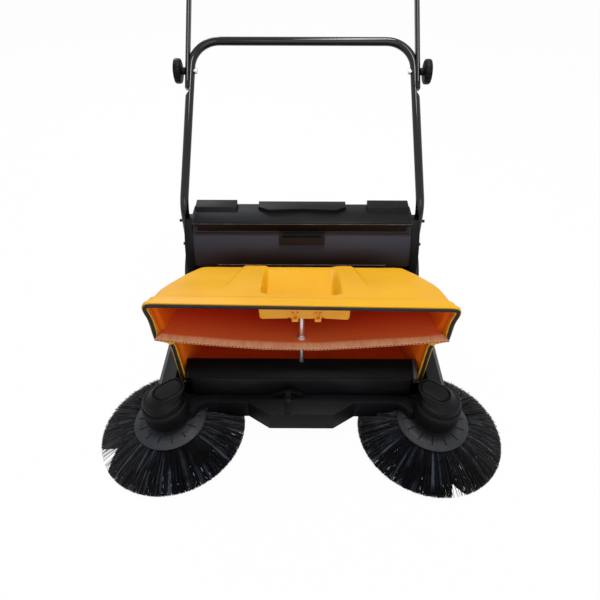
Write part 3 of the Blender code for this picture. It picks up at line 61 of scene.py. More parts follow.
def lamp(name, place, aim, width, height, watts, colour):
    """A soft box turned to face a point."""
    light = bpy.data.lights.new(name, "AREA")
    light.shape = "RECTANGLE"
    light.size, light.size_y = width, height
    light.energy = watts
    light.color = colour
    held = bpy.data.objects.new(name, light)
    bpy.context.collection.objects.link(held)
    held.location = place
    held.rotation_euler = (Vector(aim) - Vector(place)).to_track_quat("-Z", "Y").to_euler()


lamp("ceiling_light", (0.35, -0.2, 2.9), (0, -0.1, 0.2), 1.5, 0.5, 44, (1.0, 0.98, 0.95))
lamp("window_light", (-1.1, 2.4, 2.3), (0, -0.2, 0.2), 1.0, 0.5, 26, (0.86, 0.93, 1.0))
lamp("front_light", (0.5, -2.8, 1.9), (0, -0.2, 0.2), 2.0, 1.4, 16, (1.0, 0.97, 0.93))


class Value:
    """A shader node's output that adds and multiplies like a number."""

    def __init__(self, finish, socket):
        self.finish = finish
        self.socket = socket

    def maths(self, operation, *values):
        return self.finish.node("Math", {"operation": operation}, dict(enumerate(values)))

    def __add__(self, other):
        return self.maths("ADD", self, other)

    def __radd__(self, other):
        return self.maths("ADD", other, self)

    def __sub__(self, other):
        return self.maths("SUBTRACT", self, other)

    def __rsub__(self, other):
        return self.maths("SUBTRACT", other, self)

    def __mul__(self, other):
        return self.maths("MULTIPLY", self, other)

    def between(self, low, high):
        """0 below the low edge, 1 above the high one, smooth between them."""
        return self.finish.node(
            "MapRange", {"interpolation_type": "SMOOTHSTEP"},
            {"Value": self, "From Min": low, "From Max": high}, "Result"
        )


class Finish:
    """One material: a Principled shader whose sockets take numbers or worked-out values."""

    def __init__(self, name, **sockets):
        self.material = bpy.data.materials.new(name)
        self.material.use_nodes = True
        self.nodes = self.material.node_tree.nodes
        self.links = self.material.node_tree.links
        self.shader = self.nodes["Principled BSDF"]
        self.where = self.node("TexCoord", output="Object")
        self.set(**sockets)

    def node(self, kind, settings=None, inputs=None, output=0):
        """Any node by type, with its settings first and then the values or links of its sockets."""
        made = self.nodes.new("ShaderNode" + kind)
        for key, value in (settings or {}).items():
            setattr(made, key, value)
        for key, value in (inputs or {}).items():
            self.feed(made.inputs[key], value)
        return Value(self, made.outputs[output])

    def feed(self, socket, value):
        if isinstance(value, Value):
            self.links.new(value.socket, socket)
        elif socket.type == "RGBA":
            socket.default_value = (*value, 1.0)
        else:
            socket.default_value = value

    def set(self, **sockets):
        for key, value in sockets.items():
            self.feed(self.shader.inputs[key.replace("_", " ")], value)
        return self

    def part(self, axis):
        """One coordinate of the point being shaded, in metres on the machine."""
        return self.node("SeparateXYZ", None, {"Vector": self.where}, axis)

    def noise(self, scale, detail=3.0, roughness=0.5, stretch=(1, 1, 1)):
        spot = self.node("Mapping", None, {"Vector": self.where, "Scale": stretch})
        inputs = {"Vector": spot, "Scale": scale, "Detail": detail, "Roughness": roughness}
        return self.node("TexNoise", None, inputs)

    def mix(self, share, first, second):
        """Goes from the first colour to the second."""
        node = self.nodes.new("ShaderNodeMix")
        node.data_type = "RGBA"
        self.feed(node.inputs[0], share)
        self.feed(node.inputs[6], first)
        self.feed(node.inputs[7], second)
        return Value(self, node.outputs[2])

    def bumps(self, height, distance, strength):
        """Raises the surface by a height from 0 to 1, over a distance in metres."""
        inputs = {"Height": height, "Distance": distance, "Strength": strength}
        return self.set(Normal=self.node("Bump", None, inputs, "Normal"))


ground = Finish("studio_white", Base_Color=(0.9, 0.9, 0.9), Roughness=0.9, Specular_IOR_Level=0.0)
bpy.ops.mesh.primitive_plane_add(size=16, location=(0, 0, 0))
floor = bpy.context.object
floor.name = "studio_floor"
floor.data.materials.append(ground.material)
path = ground.node("LightPath", output="Is Camera Ray")
glow = ground.node("Emission", None, {"Color": (1.0, 1.0, 1.0), "Strength": 1.0}, "Emission")
shaded = Value(ground, ground.shader.outputs["BSDF"])
both = ground.node("MixShader", None, {0: path * 0.97, 1: shaded, 2: glow}, "Shader")
ground.links.new(both.socket, ground.nodes["Material Output"].inputs["Surface"])

world = bpy.data.worlds.new("studio")
bpy.context.scene.world = world
world.use_nodes = True
sky = world.node_tree.nodes
backdrop = sky["Background"]
rays = sky.new("ShaderNodeLightPath")
seen = sky.new("ShaderNodeMath")
seen.operation = "ADD"
clear_too = sky.new("ShaderNodeMath")
clear_too.operation = "ADD"
strength = sky.new("ShaderNodeMapRange")
strength.inputs["To Min"].default_value = 0.42
strength.inputs["To Max"].default_value = 1.0
world.node_tree.links.new(rays.outputs["Is Camera Ray"], seen.inputs[0])
world.node_tree.links.new(rays.outputs["Is Glossy Ray"], seen.inputs[1])
world.node_tree.links.new(seen.outputs[0], clear_too.inputs[0])
world.node_tree.links.new(rays.outputs["Is Transmission Ray"], clear_too.inputs[1])
world.node_tree.links.new(clear_too.outputs[0], strength.inputs["Value"])
world.node_tree.links.new(strength.outputs[0], backdrop.inputs["Strength"])
backdrop.inputs["Color"].default_value = (1, 1, 1, 1)


# The chassis mouldings: two hollow arms, the front beam with its bumper, the plates and the cover.
# They are injection-moulded black polypropylene with a fine spark-eroded grain; their edges are rounded.
def only(*pieces):
    """Selects these objects alone, the first of them active."""
    if bpy.context.mode != "OBJECT":
        bpy.ops.object.mode_set(mode="OBJECT")
    bpy.ops.object.select_all(action="DESELECT")
    for piece in pieces:
        piece.select_set(True)
    bpy.context.view_layer.objects.active = pieces[0]


def edit(piece, everything=True):
    """Opens a piece in edit mode with all of it, or none of it, selected."""
    only(piece)
    bpy.ops.object.mode_set(mode="EDIT")
    bpy.ops.mesh.select_all(action="SELECT" if everything else "DESELECT")


def modified(piece, kind, **settings):
    """Adds a modifier, sets it and applies it."""
    only(piece)
    step = piece.modifiers.new(kind.lower(), kind)
    for key, value in settings.items():
        setattr(step, key, value)
    bpy.ops.object.modifier_apply(modifier=step.name)
    return piece


def smooth(piece, degrees):
    only(piece)
    bpy.ops.object.shade_smooth_by_angle(angle=math.radians(degrees))
    return piece


def dress(piece, finish, body, slot, *stands_for):
    """Gives a piece its finish and its body, and hides the solids that it stands for."""
    piece.data.materials.clear()
    piece.data.materials.append(finish.material)
    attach(piece, body)
    if stands_for:
        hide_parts(*stands_for)
    return piece


def bevelled(piece, width, segments, degrees, **settings):
    """Rounds the edges that turn by more than an angle."""
    return modified(piece, "BEVEL", width=width, segments=segments, limit_method="ANGLE",
                    angle_limit=math.radians(degrees), **settings)


def rounded(node, width, segments=3):
    """A copy of a moulded solid with its flat faces made whole and its edges rounded."""
    piece = bpy.data.objects.new(node + "_moulding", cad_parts[node].data.copy())
    bpy.context.collection.objects.link(piece)
    edit(piece)
    bpy.ops.mesh.remove_doubles(threshold=0.00002)
    bpy.ops.mesh.dissolve_limited(angle_limit=math.radians(1.0))
    bpy.ops.object.mode_set(mode="OBJECT")
    bevelled(piece, width, segments, 30, use_clamp_overlap=True, miter_outer="MITER_ARC")
    return smooth(piece, 40)


black_moulding = Finish("black_moulding", Specular_IOR_Level=0.11)
grain = black_moulding.noise(900.0, 2.0)
cloud = black_moulding.noise(9.0, 4.0)
dust = black_moulding.noise(60.0, 5.0, 0.65)
black_moulding.set(
    Base_Color=black_moulding.mix(cloud.between(0.35, 0.75), (0.0028, 0.0028, 0.0036),
                                  (0.0062, 0.0063, 0.0080)),
    Roughness=0.34 + cloud * 0.12 + dust * 0.10,
)
black_moulding.bumps(grain * 0.7 + dust * 0.3, 0.00012, 0.5)

SIDES = (("left", -1), ("right", 1))
BRUSH_X = 0.2944
BRUSH_Y = -0.4301
BRUSH_LIFT = 0.012758
BOSS_SLIMMING = 0.855


def brush_stand(sign):
    """Stands a piece on a side brush's axis, which leans out and forward at its top."""
    tilt = Vector((0, 0, 1)).rotation_difference(Vector((sign * 0.057419, -0.04177, 0.997476)))
    return Matrix.Translation((sign * BRUSH_X, BRUSH_Y, BRUSH_LIFT)) @ tilt.to_matrix().to_4x4()


for side, sign in SIDES:
    arm = rounded(side + "_side_arm", 0.0016)
    upright = brush_stand(sign).inverted()
    arm.data.transform(upright)
    spots = np.array([v.co for v in arm.data.vertices])
    out = np.hypot(spots[:, 0], spots[:, 1])
    boss = (out < 0.0590) & (spots[:, 2] > 0.060)
    spots[boss, :2] *= BOSS_SLIMMING
    arm.data.vertices.foreach_set("co", spots.ravel())
    arm.data.transform(upright.inverted())
    dress(arm, black_moulding, "chassis", "black_plastic", side + "_side_arm")
    plate = rounded(side + "_end_plate", 0.0016)
    dress(plate, black_moulding, "chassis", "black_plastic", side + "_end_plate")
for node, width in (("front_bumper", 0.002), ("cross_plate", 0.0015)):
    dress(rounded(node, width), black_moulding, "chassis", "black_plastic", node)

# The T-lever on the bumper: a post with a thin curved wing.
lever = rounded("front_lever", 0.0006)
spots = np.array([v.co for v in lever.data.vertices])
wing = np.abs(spots[:, 0] + 0.030) > 0.0103
middle = spots[wing, 2].mean()
spots[wing, 2] = middle + (spots[wing, 2] - middle) * 0.7
post_top = (spots[:, 2] > 0.110) & ~wing
spots[post_top, 2] += 0.002
lever.data.vertices.foreach_set("co", spots.ravel())
lever.data.update()
dress(lever, black_moulding, "front_lever", "black_plastic", "front_lever")


# The side brushes: a moulded grey ring plate with a ribbed rim, on a hub with a crown gear under the boss.
# Tufts of stiff black filament are set in two rows of holes under the ring and flare out to the floor.
def named(name):
    """Leaves edit mode and names the piece that was just made."""
    if bpy.context.mode != "OBJECT":
        bpy.ops.object.mode_set(mode="OBJECT")
    piece = bpy.context.object
    piece.name = name
    piece.data.name = name
    return piece


def add(kind, **settings):
    """Adds a primitive with nothing else selected."""
    if bpy.context.mode != "OBJECT":
        bpy.ops.object.mode_set(mode="OBJECT")
    bpy.ops.object.select_all(action="DESELECT")
    getattr(bpy.ops.mesh, "primitive_" + kind + "_add")(**settings)
    return bpy.context.object


def settle(piece, placing=None):
    """Moves a finished piece to its place and leaves its object at the origin."""
    if placing is not None:
        piece.matrix_world = placing @ piece.matrix_world
    only(piece)
    bpy.ops.object.transform_apply(location=True, rotation=True, scale=True)
    return piece


def polyline(name, points):
    """A chain of edges drawn point by point from a primitive's corner."""
    piece = add("plane", size=0.01, location=(0, 0, 0))
    edit(piece)
    bpy.ops.mesh.merge(type="CENTER")
    bpy.ops.transform.translate(value=points[0])
    for before, after in zip(points, points[1:]):
        step = [b - a for a, b in zip(before, after)]
        bpy.ops.mesh.extrude_region_move(TRANSFORM_OT_translate={"value": step})
    return named(name)


def extruded(outline, step):
    """Fills a closed outline and draws it out into a solid."""
    edit(outline)
    bpy.ops.mesh.edge_face_add()
    bpy.ops.mesh.extrude_region_move(TRANSFORM_OT_translate={"value": step})
    bpy.ops.mesh.select_all(action="SELECT")
    bpy.ops.mesh.normals_make_consistent(inside=False)
    return named(outline.name)


def turned(name, profile, steps, axis="Z"):
    """Spins a closed loop of (radius, height) points about Z, or about X."""
    piece = polyline(name, [(r, 0, h) for r, h in [*profile, profile[0]]])
    edit(piece)
    bpy.ops.mesh.spin(steps=steps, angle=2 * math.pi, center=(0, 0, 0), axis=(0, 0, 1))
    bpy.ops.mesh.select_all(action="SELECT")
    bpy.ops.mesh.remove_doubles(threshold=0.000005)
    bpy.ops.mesh.normals_make_consistent(inside=False)
    piece = named(name)
    if axis == "X":
        settle(piece, Matrix.Rotation(math.radians(90), 4, "Y"))
    return piece


def pick(piece, test):
    """Opens a piece in edit mode with only the faces that pass the test selected."""
    edit(piece, everything=False)
    mesh = bmesh.from_edit_mesh(piece.data)
    for face in mesh.faces:
        face.select_set(test(face.calc_center_median(), face.normal))
    bmesh.update_edit_mesh(piece.data)


def strand(name, thickness, taper, parts):
    """One bristle, three-sided, a metre long, drawn out step by step."""
    piece = add("circle", vertices=3, radius=thickness, fill_type="NGON")
    edit(piece)
    for _ in range(parts):
        bpy.ops.mesh.extrude_region_move(TRANSFORM_OT_translate={"value": (0, 0, 1 / parts)})
        bpy.ops.transform.resize(value=(taper, taper, 1))
    bpy.ops.mesh.select_all(action="SELECT")
    bpy.ops.mesh.normals_make_consistent(inside=False)
    return named(name)


def planted(pattern, roots, tips, bows, name):
    """Copies a strand to every root, leaning to its tip, with a bow; the copies are one mesh."""
    mesh = pattern.data
    shape = np.array([v.co for v in mesh.vertices])
    faces = [list(f.vertices) for f in mesh.polygons]
    run = tips - roots
    length = np.linalg.norm(run, axis=1, keepdims=True)
    along = run / length
    across = np.cross(along, (0.0, 0.0, 1.0))
    across /= np.linalg.norm(across, axis=1, keepdims=True)
    third = np.cross(across, along)
    s = shape[None, :, 2:3]
    spots = roots[:, None] + run[:, None] * s + bows[:, None] * (4 * s * (1 - s))
    spots = spots + across[:, None] * shape[None, :, 0:1] + third[:, None] * shape[None, :, 1:2]
    count = len(shape)
    every = [[i + k * count for i in face] for k in range(len(roots)) for face in faces]
    grown = bpy.data.meshes.new(name)
    grown.from_pydata(spots.reshape(-1, 3).tolist(), [], every)
    bpy.data.objects.remove(pattern)
    piece = bpy.data.objects.new(name, grown)
    bpy.context.collection.objects.link(piece)
    return piece


TUFTS = 46
FILAMENTS = 124
BRUSH_REACH = 0.1652
ROOT_HEIGHT = 0.0424
SLOTS = 126
chance = np.random.default_rng(7)
grey_ring = Finish("grey_ring_moulding", Specular_IOR_Level=0.20)
ring_cloud = grey_ring.noise(24.0, 4.0)
ring_dust = grey_ring.noise(160.0, 4.0, 0.6)
grey_ring.set(
    Base_Color=grey_ring.mix(ring_cloud.between(0.3, 0.7), (0.020, 0.021, 0.026), (0.032, 0.034, 0.041)),
    Roughness=0.42 + ring_dust * 0.16,
)
grey_ring.bumps(ring_dust, 0.00015, 0.5)
filament = Finish("black_filament", Specular_IOR_Level=0.55)
across = filament.part(0)
across = across.maths("ABSOLUTE", across) - BRUSH_X
around = across.maths("ARCTAN2", filament.part(1) + -BRUSH_Y, across)
wisps = filament.node("TexNoise", {"noise_dimensions": "1D"},
                      {"W": around * 11.0, "Scale": 1.0, "Detail": 6.0, "Roughness": 0.85})
clumps = filament.noise(26.0, 2.0)
# painted highlight: bluish streaks painted into the filament's colour, in wisps around each brush
sheen = wisps.between(0.50, 0.66) * clumps.between(0.38, 0.62)
filament.set(
    Base_Color=filament.mix(sheen, (0.0028, 0.0030, 0.0040), (0.105, 0.125, 0.180)),
    Roughness=0.34 - sheen * 0.10,
)

# Where a few tufts are splayed: the angles where the gap starts, is deepest and ends, and its reach there.
splayed = {"left": (-163.5, -155.0, -140.0, 0.124), "right": (-83.0, -80.0, -71.0, 0.137)}
for side, sign in SIDES:
    stand = brush_stand(sign)

    plate = turned(side + "_ring_plate", [
        (0.0074, 0.0422), (0.0785, 0.0422), (0.0802, 0.0428), (0.0808, 0.0440), (0.0806, 0.0452),
        (0.0790, 0.0464), (0.0745, 0.0482), (0.0720, 0.0492), (0.0706, 0.0500), (0.0695, 0.0509),
        (0.0560, 0.0509), (0.0480, 0.0509), (0.0180, 0.0509), (0.0170, 0.0520), (0.0160, 0.0945),
        (0.0325, 0.0950), (0.0430, 0.0950), (0.0430, 0.0985), (0.0425, 0.0989), (0.0074, 0.0989)], SLOTS)
    pick(plate, lambda c, n: n.z > 0.9 and 0.05 < math.hypot(c.x, c.y) < 0.0690 and 0.05 < c.z < 0.052
         and int(math.degrees(math.atan2(c.y, c.x)) % 360 / (360 / SLOTS)) % 9 == 0)
    bpy.ops.mesh.extrude_region_move(TRANSFORM_OT_translate={"value": (0, 0, -0.0032)})
    plate = named(side + "_ring_plate")
    bevelled(plate, 0.0004, 2, 40)
    dress(settle(smooth(plate, 40), stand), grey_ring, side + "_brush", "grey_plastic", side + "_brush_plate")

    tuft = np.arange(TUFTS).repeat(FILAMENTS)
    row = tuft % 2
    base = 2 * math.pi * tuft / TUFTS
    fan = chance.normal(0, 0.80 * math.pi / TUFTS, len(tuft))
    lean = base + fan * 2.0 + chance.normal(0, 0.012, len(tuft))
    spread = chance.uniform(-1, 1, len(tuft))
    root_radius = np.where(row == 0, 0.0600, 0.0705) + spread * 0.0022
    turn = base + fan * 0.35
    reach = BRUSH_REACH - np.abs(chance.normal(0, 0.0016, len(tuft)))
    start, deep, end, short = splayed[side]
    angle = (np.degrees(lean) + 180) % 360 - 180
    limit = np.interp(angle, [start, deep, end], [BRUSH_REACH, short, BRUSH_REACH])
    kept = chance.random(len(tuft)) < 0.06
    reach = np.where(kept, reach, np.minimum(reach, limit - np.abs(chance.normal(0, 0.001, len(tuft)))))
    level = np.full(len(tuft), ROOT_HEIGHT)
    roots = np.stack([root_radius * np.cos(turn), root_radius * np.sin(turn), level], axis=1)
    fall = 0.0012 + (root_radius - 0.058) * 0.5 * np.abs(chance.normal(0, 0.5, len(tuft)))
    fall = fall + np.abs(chance.normal(0, 0.0016, len(tuft)))
    fall = fall + (BRUSH_REACH - reach) * 0.30
    tips = np.stack([reach * np.cos(lean), reach * np.sin(lean), fall], axis=1)
    straight = np.zeros(len(tuft))
    bows = np.stack([straight, straight, 0.0035 + chance.normal(0, 0.0012, len(tuft))], axis=1)
    hair = planted(strand("filament", 0.00066, 0.93, 4), roots, tips, bows, side + "_bristles")
    dress(settle(hair, stand), filament, side + "_brush", "bristle", side + "_brush_bristles")


# The hopper: one deep yellow bin, set with its mouth forward, with a thick rolled rim and a hand pocket in
# its top. Its inside is painted redder the deeper it goes, as painted shade and painted light bounced
# between its yellow walls; its top sags a little.
LIP = -0.3701
REACH = 0.202
RIM = 0.0125
WALL = 0.0035


def soft_step(value, low, high):
    share = np.clip((value - low) / (high - low), 0, 1)
    return share * share * (3 - 2 * share)


def bin_half(back):
    """Half of the bin's outline at a distance from the lip: x and z from the top's middle to the floor's."""
    top = 0.346 - 0.234 * max(0.0, back - 0.012)
    upper, lower = 0.312 - 0.074 * (back / REACH) ** 2.3, 0.281 - 0.277 * back
    rim = [(0.294, 0.3460), (0.3070, 0.3458), (0.3165, 0.3440), (0.3225, 0.3395), (0.3248, 0.3325),
           (0.3245, 0.3250), (0.3228, 0.3170), (0.3203, 0.3090), (0.3184, 0.3000), (0.3172, 0.2890),
           (0.3166, 0.2760), (0.3160, 0.2630), (0.3148, 0.2520), (0.3120, 0.2455), (0.3060, 0.2412),
           (0.2960, 0.2380), (0.2865, 0.2345), (0.2828, 0.2250), (0.2765, 0.1400), (0.2755, 0.1240),
           (0.2735, 0.1165), (0.2690, 0.1125), (0.2600, 0.1120)]
    body = [(upper - 0.024, top), (upper - 0.013, top - 0.0008), (upper - 0.006, top - 0.004),
            (upper - 0.0015, top - 0.0095), (upper, top - 0.017), (upper - 0.0004, top - 0.026)]
    body += [(upper - 0.0004 - 0.0096 * k / 6, top - 0.026 + (0.264 - top + 0.026) * k / 6)
             for k in range(1, 7)]
    body += [(max(upper - 0.012, lower + 0.006), 0.254), (max(upper - 0.0165, lower + 0.005), 0.2475),
             (max(upper - 0.022, lower + 0.004), 0.245), (lower + 0.0035, 0.2425), (lower + 0.0012, 0.237),
             (lower - 0.0005, 0.225), (lower - 0.0075, 0.140), (lower - 0.0088, 0.124),
             (lower - 0.011, 0.1165), (lower - 0.017, 0.1125), (lower - 0.025, 0.112)]
    flare = 1 - 0.55 * soft_step(back, 0.008, 0.015) - 0.45 * soft_step(back, 0.023, 0.034)
    side = flare * np.array(rim) + (1 - flare) * np.array(body)
    across = np.linspace(0, 1, 97)[:-1, None] * np.array([side[0][0], 0]) + np.array([0, side[0][1]])
    under = np.linspace(1, 0, 12)[1:, None] * np.array([side[-1][0], 0]) + np.array([0, side[-1][1]])
    half = [side[0]]
    for before, after in zip(side, side[1:]):
        half += [before + (after - before) * t for t in (0.5, 1.0)]
    return np.concatenate([across, np.array(half), under])


def bin_outline(back, inset=0.0):
    """The bin's whole outline at a distance from the lip, shrunk by an inset, with the sag and the pocket."""
    half = bin_half(back)
    ring = np.concatenate([half, half[-2:0:-1] * (-1, 1)])
    run = np.roll(ring, -1, axis=0) - np.roll(ring, 1, axis=0)
    run /= np.linalg.norm(run, axis=1, keepdims=True)
    ledge = np.clip((np.abs(ring[:, 0]) - 0.2845) / 0.01, 0, 1) * np.clip((0.262 - ring[:, 1]) / 0.012, 0, 1)
    inset = inset * (1 - 0.55 * ledge * (back < 0.008))
    ring = ring + inset[:, None] * np.stack([run[:, 1], -run[:, 0]], axis=1)
    x, z = ring[:, 0], ring[:, 1]
    rise = np.clip((z - 0.25) / 0.096, 0, 1) * (1 - 0.8 * soft_step(back, 0.02, 0.14))
    z = z - rise * (0.0035 + 0.005 * x / 0.32)
    lid = np.clip((z - 0.262) / 0.025, 0, 1)
    spread = 0.05 * (1 - back / REACH)
    wing = soft_step(-x, 0.130 + spread, 0.137 + spread) * soft_step(back, 0.05, 0.13)
    wing = wing + soft_step(x, 0.112 + spread, 0.121 + spread) * soft_step(back, 0.07, 0.15)
    z = z - lid * wing * 0.0045
    corner = 0.013 * np.clip((np.abs(x) - 0.064) / 0.0235, 0, 1) ** 2
    front = soft_step(back - corner, 0.0435, 0.0515)
    sides = soft_step(-x, -0.0875, -0.0640) * soft_step(x, -0.0875, -0.0760)
    z = z - lid * front * sides * (0.043 - 0.039 * soft_step(back, 0.05, 0.19))
    return np.stack([x, np.full(len(x), LIP + back), z], axis=1)


def skinned(name, rings, capped=True):
    """Joins a chain of rings of points into a skin, with both ends capped or both open."""
    count = len(rings[0])
    faces = []
    for k in range(0, (len(rings) - 1) * count, count):
        for i in range(count):
            after = (i + 1) % count
            faces.append([k + i, k + after, k + count + after, k + count + i])
    if capped:
        faces.append(list(range(count)))
        faces.append([(len(rings) - 1) * count + i for i in range(count)])
    mesh = bpy.data.meshes.new(name)
    mesh.from_pydata(np.concatenate(rings).tolist(), [], faces)
    piece = bpy.data.objects.new(name, mesh)
    bpy.context.collection.objects.link(piece)
    edit(piece)
    bpy.ops.mesh.normals_make_consistent(inside=False)
    return named(name)


yellow_bin = Finish("yellow_bin", Roughness=0.4, Specular_IOR_Level=0.24)
# the 'hollow' attribute is 0 outside and grows inside and deeper in: the share of painted inside shade
depth = yellow_bin.node("Attribute", {"attribute_name": "hollow"}, None, "Fac")
tone = yellow_bin.noise(7.0, 3.0)
mould_grain = yellow_bin.noise(700.0, 2.0)
ripple = yellow_bin.noise(14.0, 2.0, 0.4)
skin = yellow_bin.mix(tone.between(0.3, 0.7), (0.765, 0.375, 0.006), (0.805, 0.412, 0.010))
# painted shade and painted bounced light: the inside goes from orange-red to deep red the deeper it lies
painted_inner_shade = yellow_bin.mix(depth.between(0.42, 0.98), (0.93, 0.185, 0.007), (0.60, 0.040, 0.004))
yellow_bin.set(
    Base_Color=yellow_bin.mix(depth.between(0.12, 0.50), skin, painted_inner_shade),
    Roughness=0.36 + tone * 0.10,
)
yellow_bin.bumps(ripple * 0.75 + mould_grain * 0.25, 0.0006, 0.35)

steps_back = [0.0, 0.0008, 0.003, 0.006, 0.0085, 0.010, 0.012, 0.0145, 0.019, 0.0235, 0.026, 0.029, 0.0325,
              0.036, 0.040]
steps_back += [0.0435 + 0.001 * k for k in range(9)] + [0.054 + 0.004 * k for k in range(26)]
steps_back += [0.157 + 0.0012 * k for k in range(11)] + [0.173, 0.178, 0.184, 0.190]
rings = [bin_outline(0.0, 0.0006)] + [bin_outline(back) for back in steps_back[1:]]
rings += [bin_outline(REACH - short, inset)
          for short, inset in ((0.008, 0.0012), (0.004, 0.0038), (0.001, 0.0085), (0.0, 0.0125))]
lining = [bin_outline(back, inset)
          for back, inset in ((0.0, RIM - 0.0006), (0.0008, RIM), (0.004, RIM), (0.0065, 0.006))]
lining += [bin_outline(back, WALL) for back in steps_back if back > 0.008]
lining += [bin_outline(REACH - short, inset)
           for short, inset in ((0.009, 0.0045), (0.005, 0.008), (0.0038, 0.014))]
for ring in rings[:1] + lining[:1]:
    ring[:, 1] += 0.0004
shell = skinned("hopper_bin", rings[::-1] + lining)
count = len(rings[0])
hollow = shell.data.attributes.new("hollow", "FLOAT", "POINT")
places = np.array([v.co for v in shell.data.vertices])
inner = np.arange(len(places)) >= count * (len(rings) + 1)
# how deep each inner point lies, which sets its share of painted shade and painted bounced light
how_deep = 0.33 + 0.67 * np.clip((places[:, 1] - LIP) / 0.13, 0, 1)
hollow.data.foreach_set("value", np.where(inner, how_deep, 0.0))
dress(smooth(shell, 38), yellow_bin, "hopper", "yellow_plastic", "hopper_shell", "grip_pocket")


def edging(name, first, last):
    """A rubber strip set on the rim, between two points of its outline, with a rounded outer face."""
    section = [(0.0024, 0.0), (0.0026, -0.0022), (0.0036, -0.0031), (0.0088, -0.0031), (0.0099, -0.0022),
               (0.0101, 0.0)]
    loops = [bin_outline(0.0, inset) + (0, proud, 0) for inset, proud in section]
    return skinned(name, [np.array([loop[i] for loop in loops]) for i in range(first, last + 1)])


rubber = Finish("black_rubber", Specular_IOR_Level=0.30)
rubber_tone = rubber.noise(60.0, 3.0)
rubber.set(
    Base_Color=rubber.mix(rubber_tone.between(0.3, 0.7), (0.006, 0.006, 0.007), (0.013, 0.013, 0.015)),
    Roughness=0.45 + rubber_tone * 0.15,
)
rubber.bumps(rubber_tone, 0.0002, 0.4)
edge = bin_half(0.0)
shoulder = int(np.argmax(edge[:, 1] < 0.2440))
low_start, low_end = int(np.argmax(edge[:, 1] < 0.2330)), int(np.argmax(edge[:, 1] < 0.1190))
for name, first, last, node in (("mouth_strip", -shoulder, shoulder, "mouth_gasket"),
                                ("right_lower_strip", low_start, low_end, "right_lower_gasket"),
                                ("left_lower_strip", -low_end, -low_start, "left_lower_gasket")):
    dress(smooth(edging(name, first, last), 40), rubber, "hopper", "black_rubber", node)

# The bracket under the top, clipped on, which takes the upper end of the steel tie rod.
BRACKET_FRONT = -0.3500
bracket = [(-0.090, 0.3240), (-0.0885, 0.2930), (-0.0850, 0.2885), (-0.0300, 0.2900), (-0.0260, 0.2935),
           (-0.0245, 0.2895), (0.0420, 0.2890), (0.0440, 0.2935), (0.0480, 0.2900), (0.0965, 0.2865),
           (0.1000, 0.2900), (0.1020, 0.3230)]
latch_block = polyline("bracket_block", [(x, BRACKET_FRONT, z) for x, z in bracket])
latch_block = extruded(latch_block, (0, 0.0225, 0))
bevelled(latch_block, 0.0012, 3, 30)
clips = []
for x in (-0.014, 0.034):
    for part, (dx, low, high, proud, half) in enumerate(((-0.0050, 0.2865, 0.3090, 0.0050, 0.0016),
                                                        (0.0050, 0.2865, 0.3090, 0.0050, 0.0016),
                                                        (0.0, 0.2855, 0.2935, 0.0058, 0.0068))):
        clip = add("cube", size=1, location=(x + dx, BRACKET_FRONT - proud / 2 + 0.001, (low + high) / 2))
        clip.scale = (2 * half, proud + 0.002, high - low)
        clips.append(modified(settle(clip), "BEVEL", width=0.0007, segments=2))
only(latch_block, *clips)
bpy.ops.object.join()
yellow_clip = Finish("yellow_clip", Specular_IOR_Level=0.45)
clip_tone = yellow_clip.noise(30.0, 3.0)
yellow_clip.set(
    Base_Color=yellow_clip.mix(clip_tone.between(0.3, 0.7), (0.86, 0.36, 0.006), (0.90, 0.42, 0.010)),
    Roughness=0.28 + clip_tone * 0.12,
)
yellow_clip.bumps(yellow_clip.noise(500.0, 2.0), 0.0001, 0.4)
dress(smooth(latch_block, 40), yellow_clip, "hopper", "yellow_plastic", "grip_bracket")

bright_steel = Finish("zinc_plated_steel", Metallic=1.0)
steel_tone = bright_steel.noise(120.0, 4.0, 0.6, (1, 1, 0.2))
bright_steel.set(
    Base_Color=bright_steel.mix(steel_tone.between(0.35, 0.7), (0.86, 0.86, 0.88), (0.66, 0.66, 0.69)),
    Roughness=0.20 + steel_tone * 0.22,
)
bright_steel.bumps(steel_tone, 0.0001, 0.5)


def sheet_height(x, back):
    """The packing sheet sags between the bin's shoulders and is creased twice."""
    share = np.clip(np.abs(x) / 0.300, 0, 1)
    folds = np.interp(x, [-0.300, -0.080, 0.034, 0.300], [0.0, -0.0245, -0.027, 0.0])
    return 0.2508 - 0.036 * (back - 0.006) * (1 - share ** 2) + 0.30 * 0.027 * (share ** 2 - 1) + 0.70 * folds


ROD_Y = -0.3401
rod = add("cylinder", vertices=32, radius=0.0055, depth=0.208, location=(0, ROD_Y, 0.2077))
rest_z = float(sheet_height(np.array(0.0), 0.036)) + 0.002
washer = add("cylinder", vertices=40, radius=0.0098, depth=0.0016, location=(0, ROD_Y, rest_z + 0.0010))
nut = add("cylinder", vertices=6, radius=0.0086, depth=0.0052, location=(0, ROD_Y, rest_z + 0.0044))
foot = add("cylinder", vertices=6, radius=0.0095, depth=0.0075, location=(0, ROD_Y, 0.1075))
for part in (washer, nut, foot):
    modified(part, "BEVEL", width=0.0005, segments=2)
only(rod, washer, nut, foot)
bpy.ops.object.join()
rod.name = "steel_tie_rod"
dress(smooth(settle(rod), 35), bright_steel, "hopper", "steel", "tie_rod")

# The loose packing sheet: corrugated board left in the bin for transport, two liners with a core between.
# Its front edge is cut square and is coloured in stripes like flutes; the dark stripes are painted shade in
# the flute hollows. Deeper in, the board is painted orange-red: painted shadow under the bin's top, with
# painted light bounced off the yellow walls.
board = Finish("corrugated_board", Roughness=0.85, Specular_IOR_Level=0.15)
depth_in = board.part(1) + 0.3761
fibre = board.noise(90.0, 5.0, 0.65, (1, 0.25, 1))
shadow_edge_wobble = board.noise(11.0, 3.0)
lit = board.mix(fibre.between(0.3, 0.75), (0.78, 0.40, 0.22), (0.64, 0.29, 0.14))
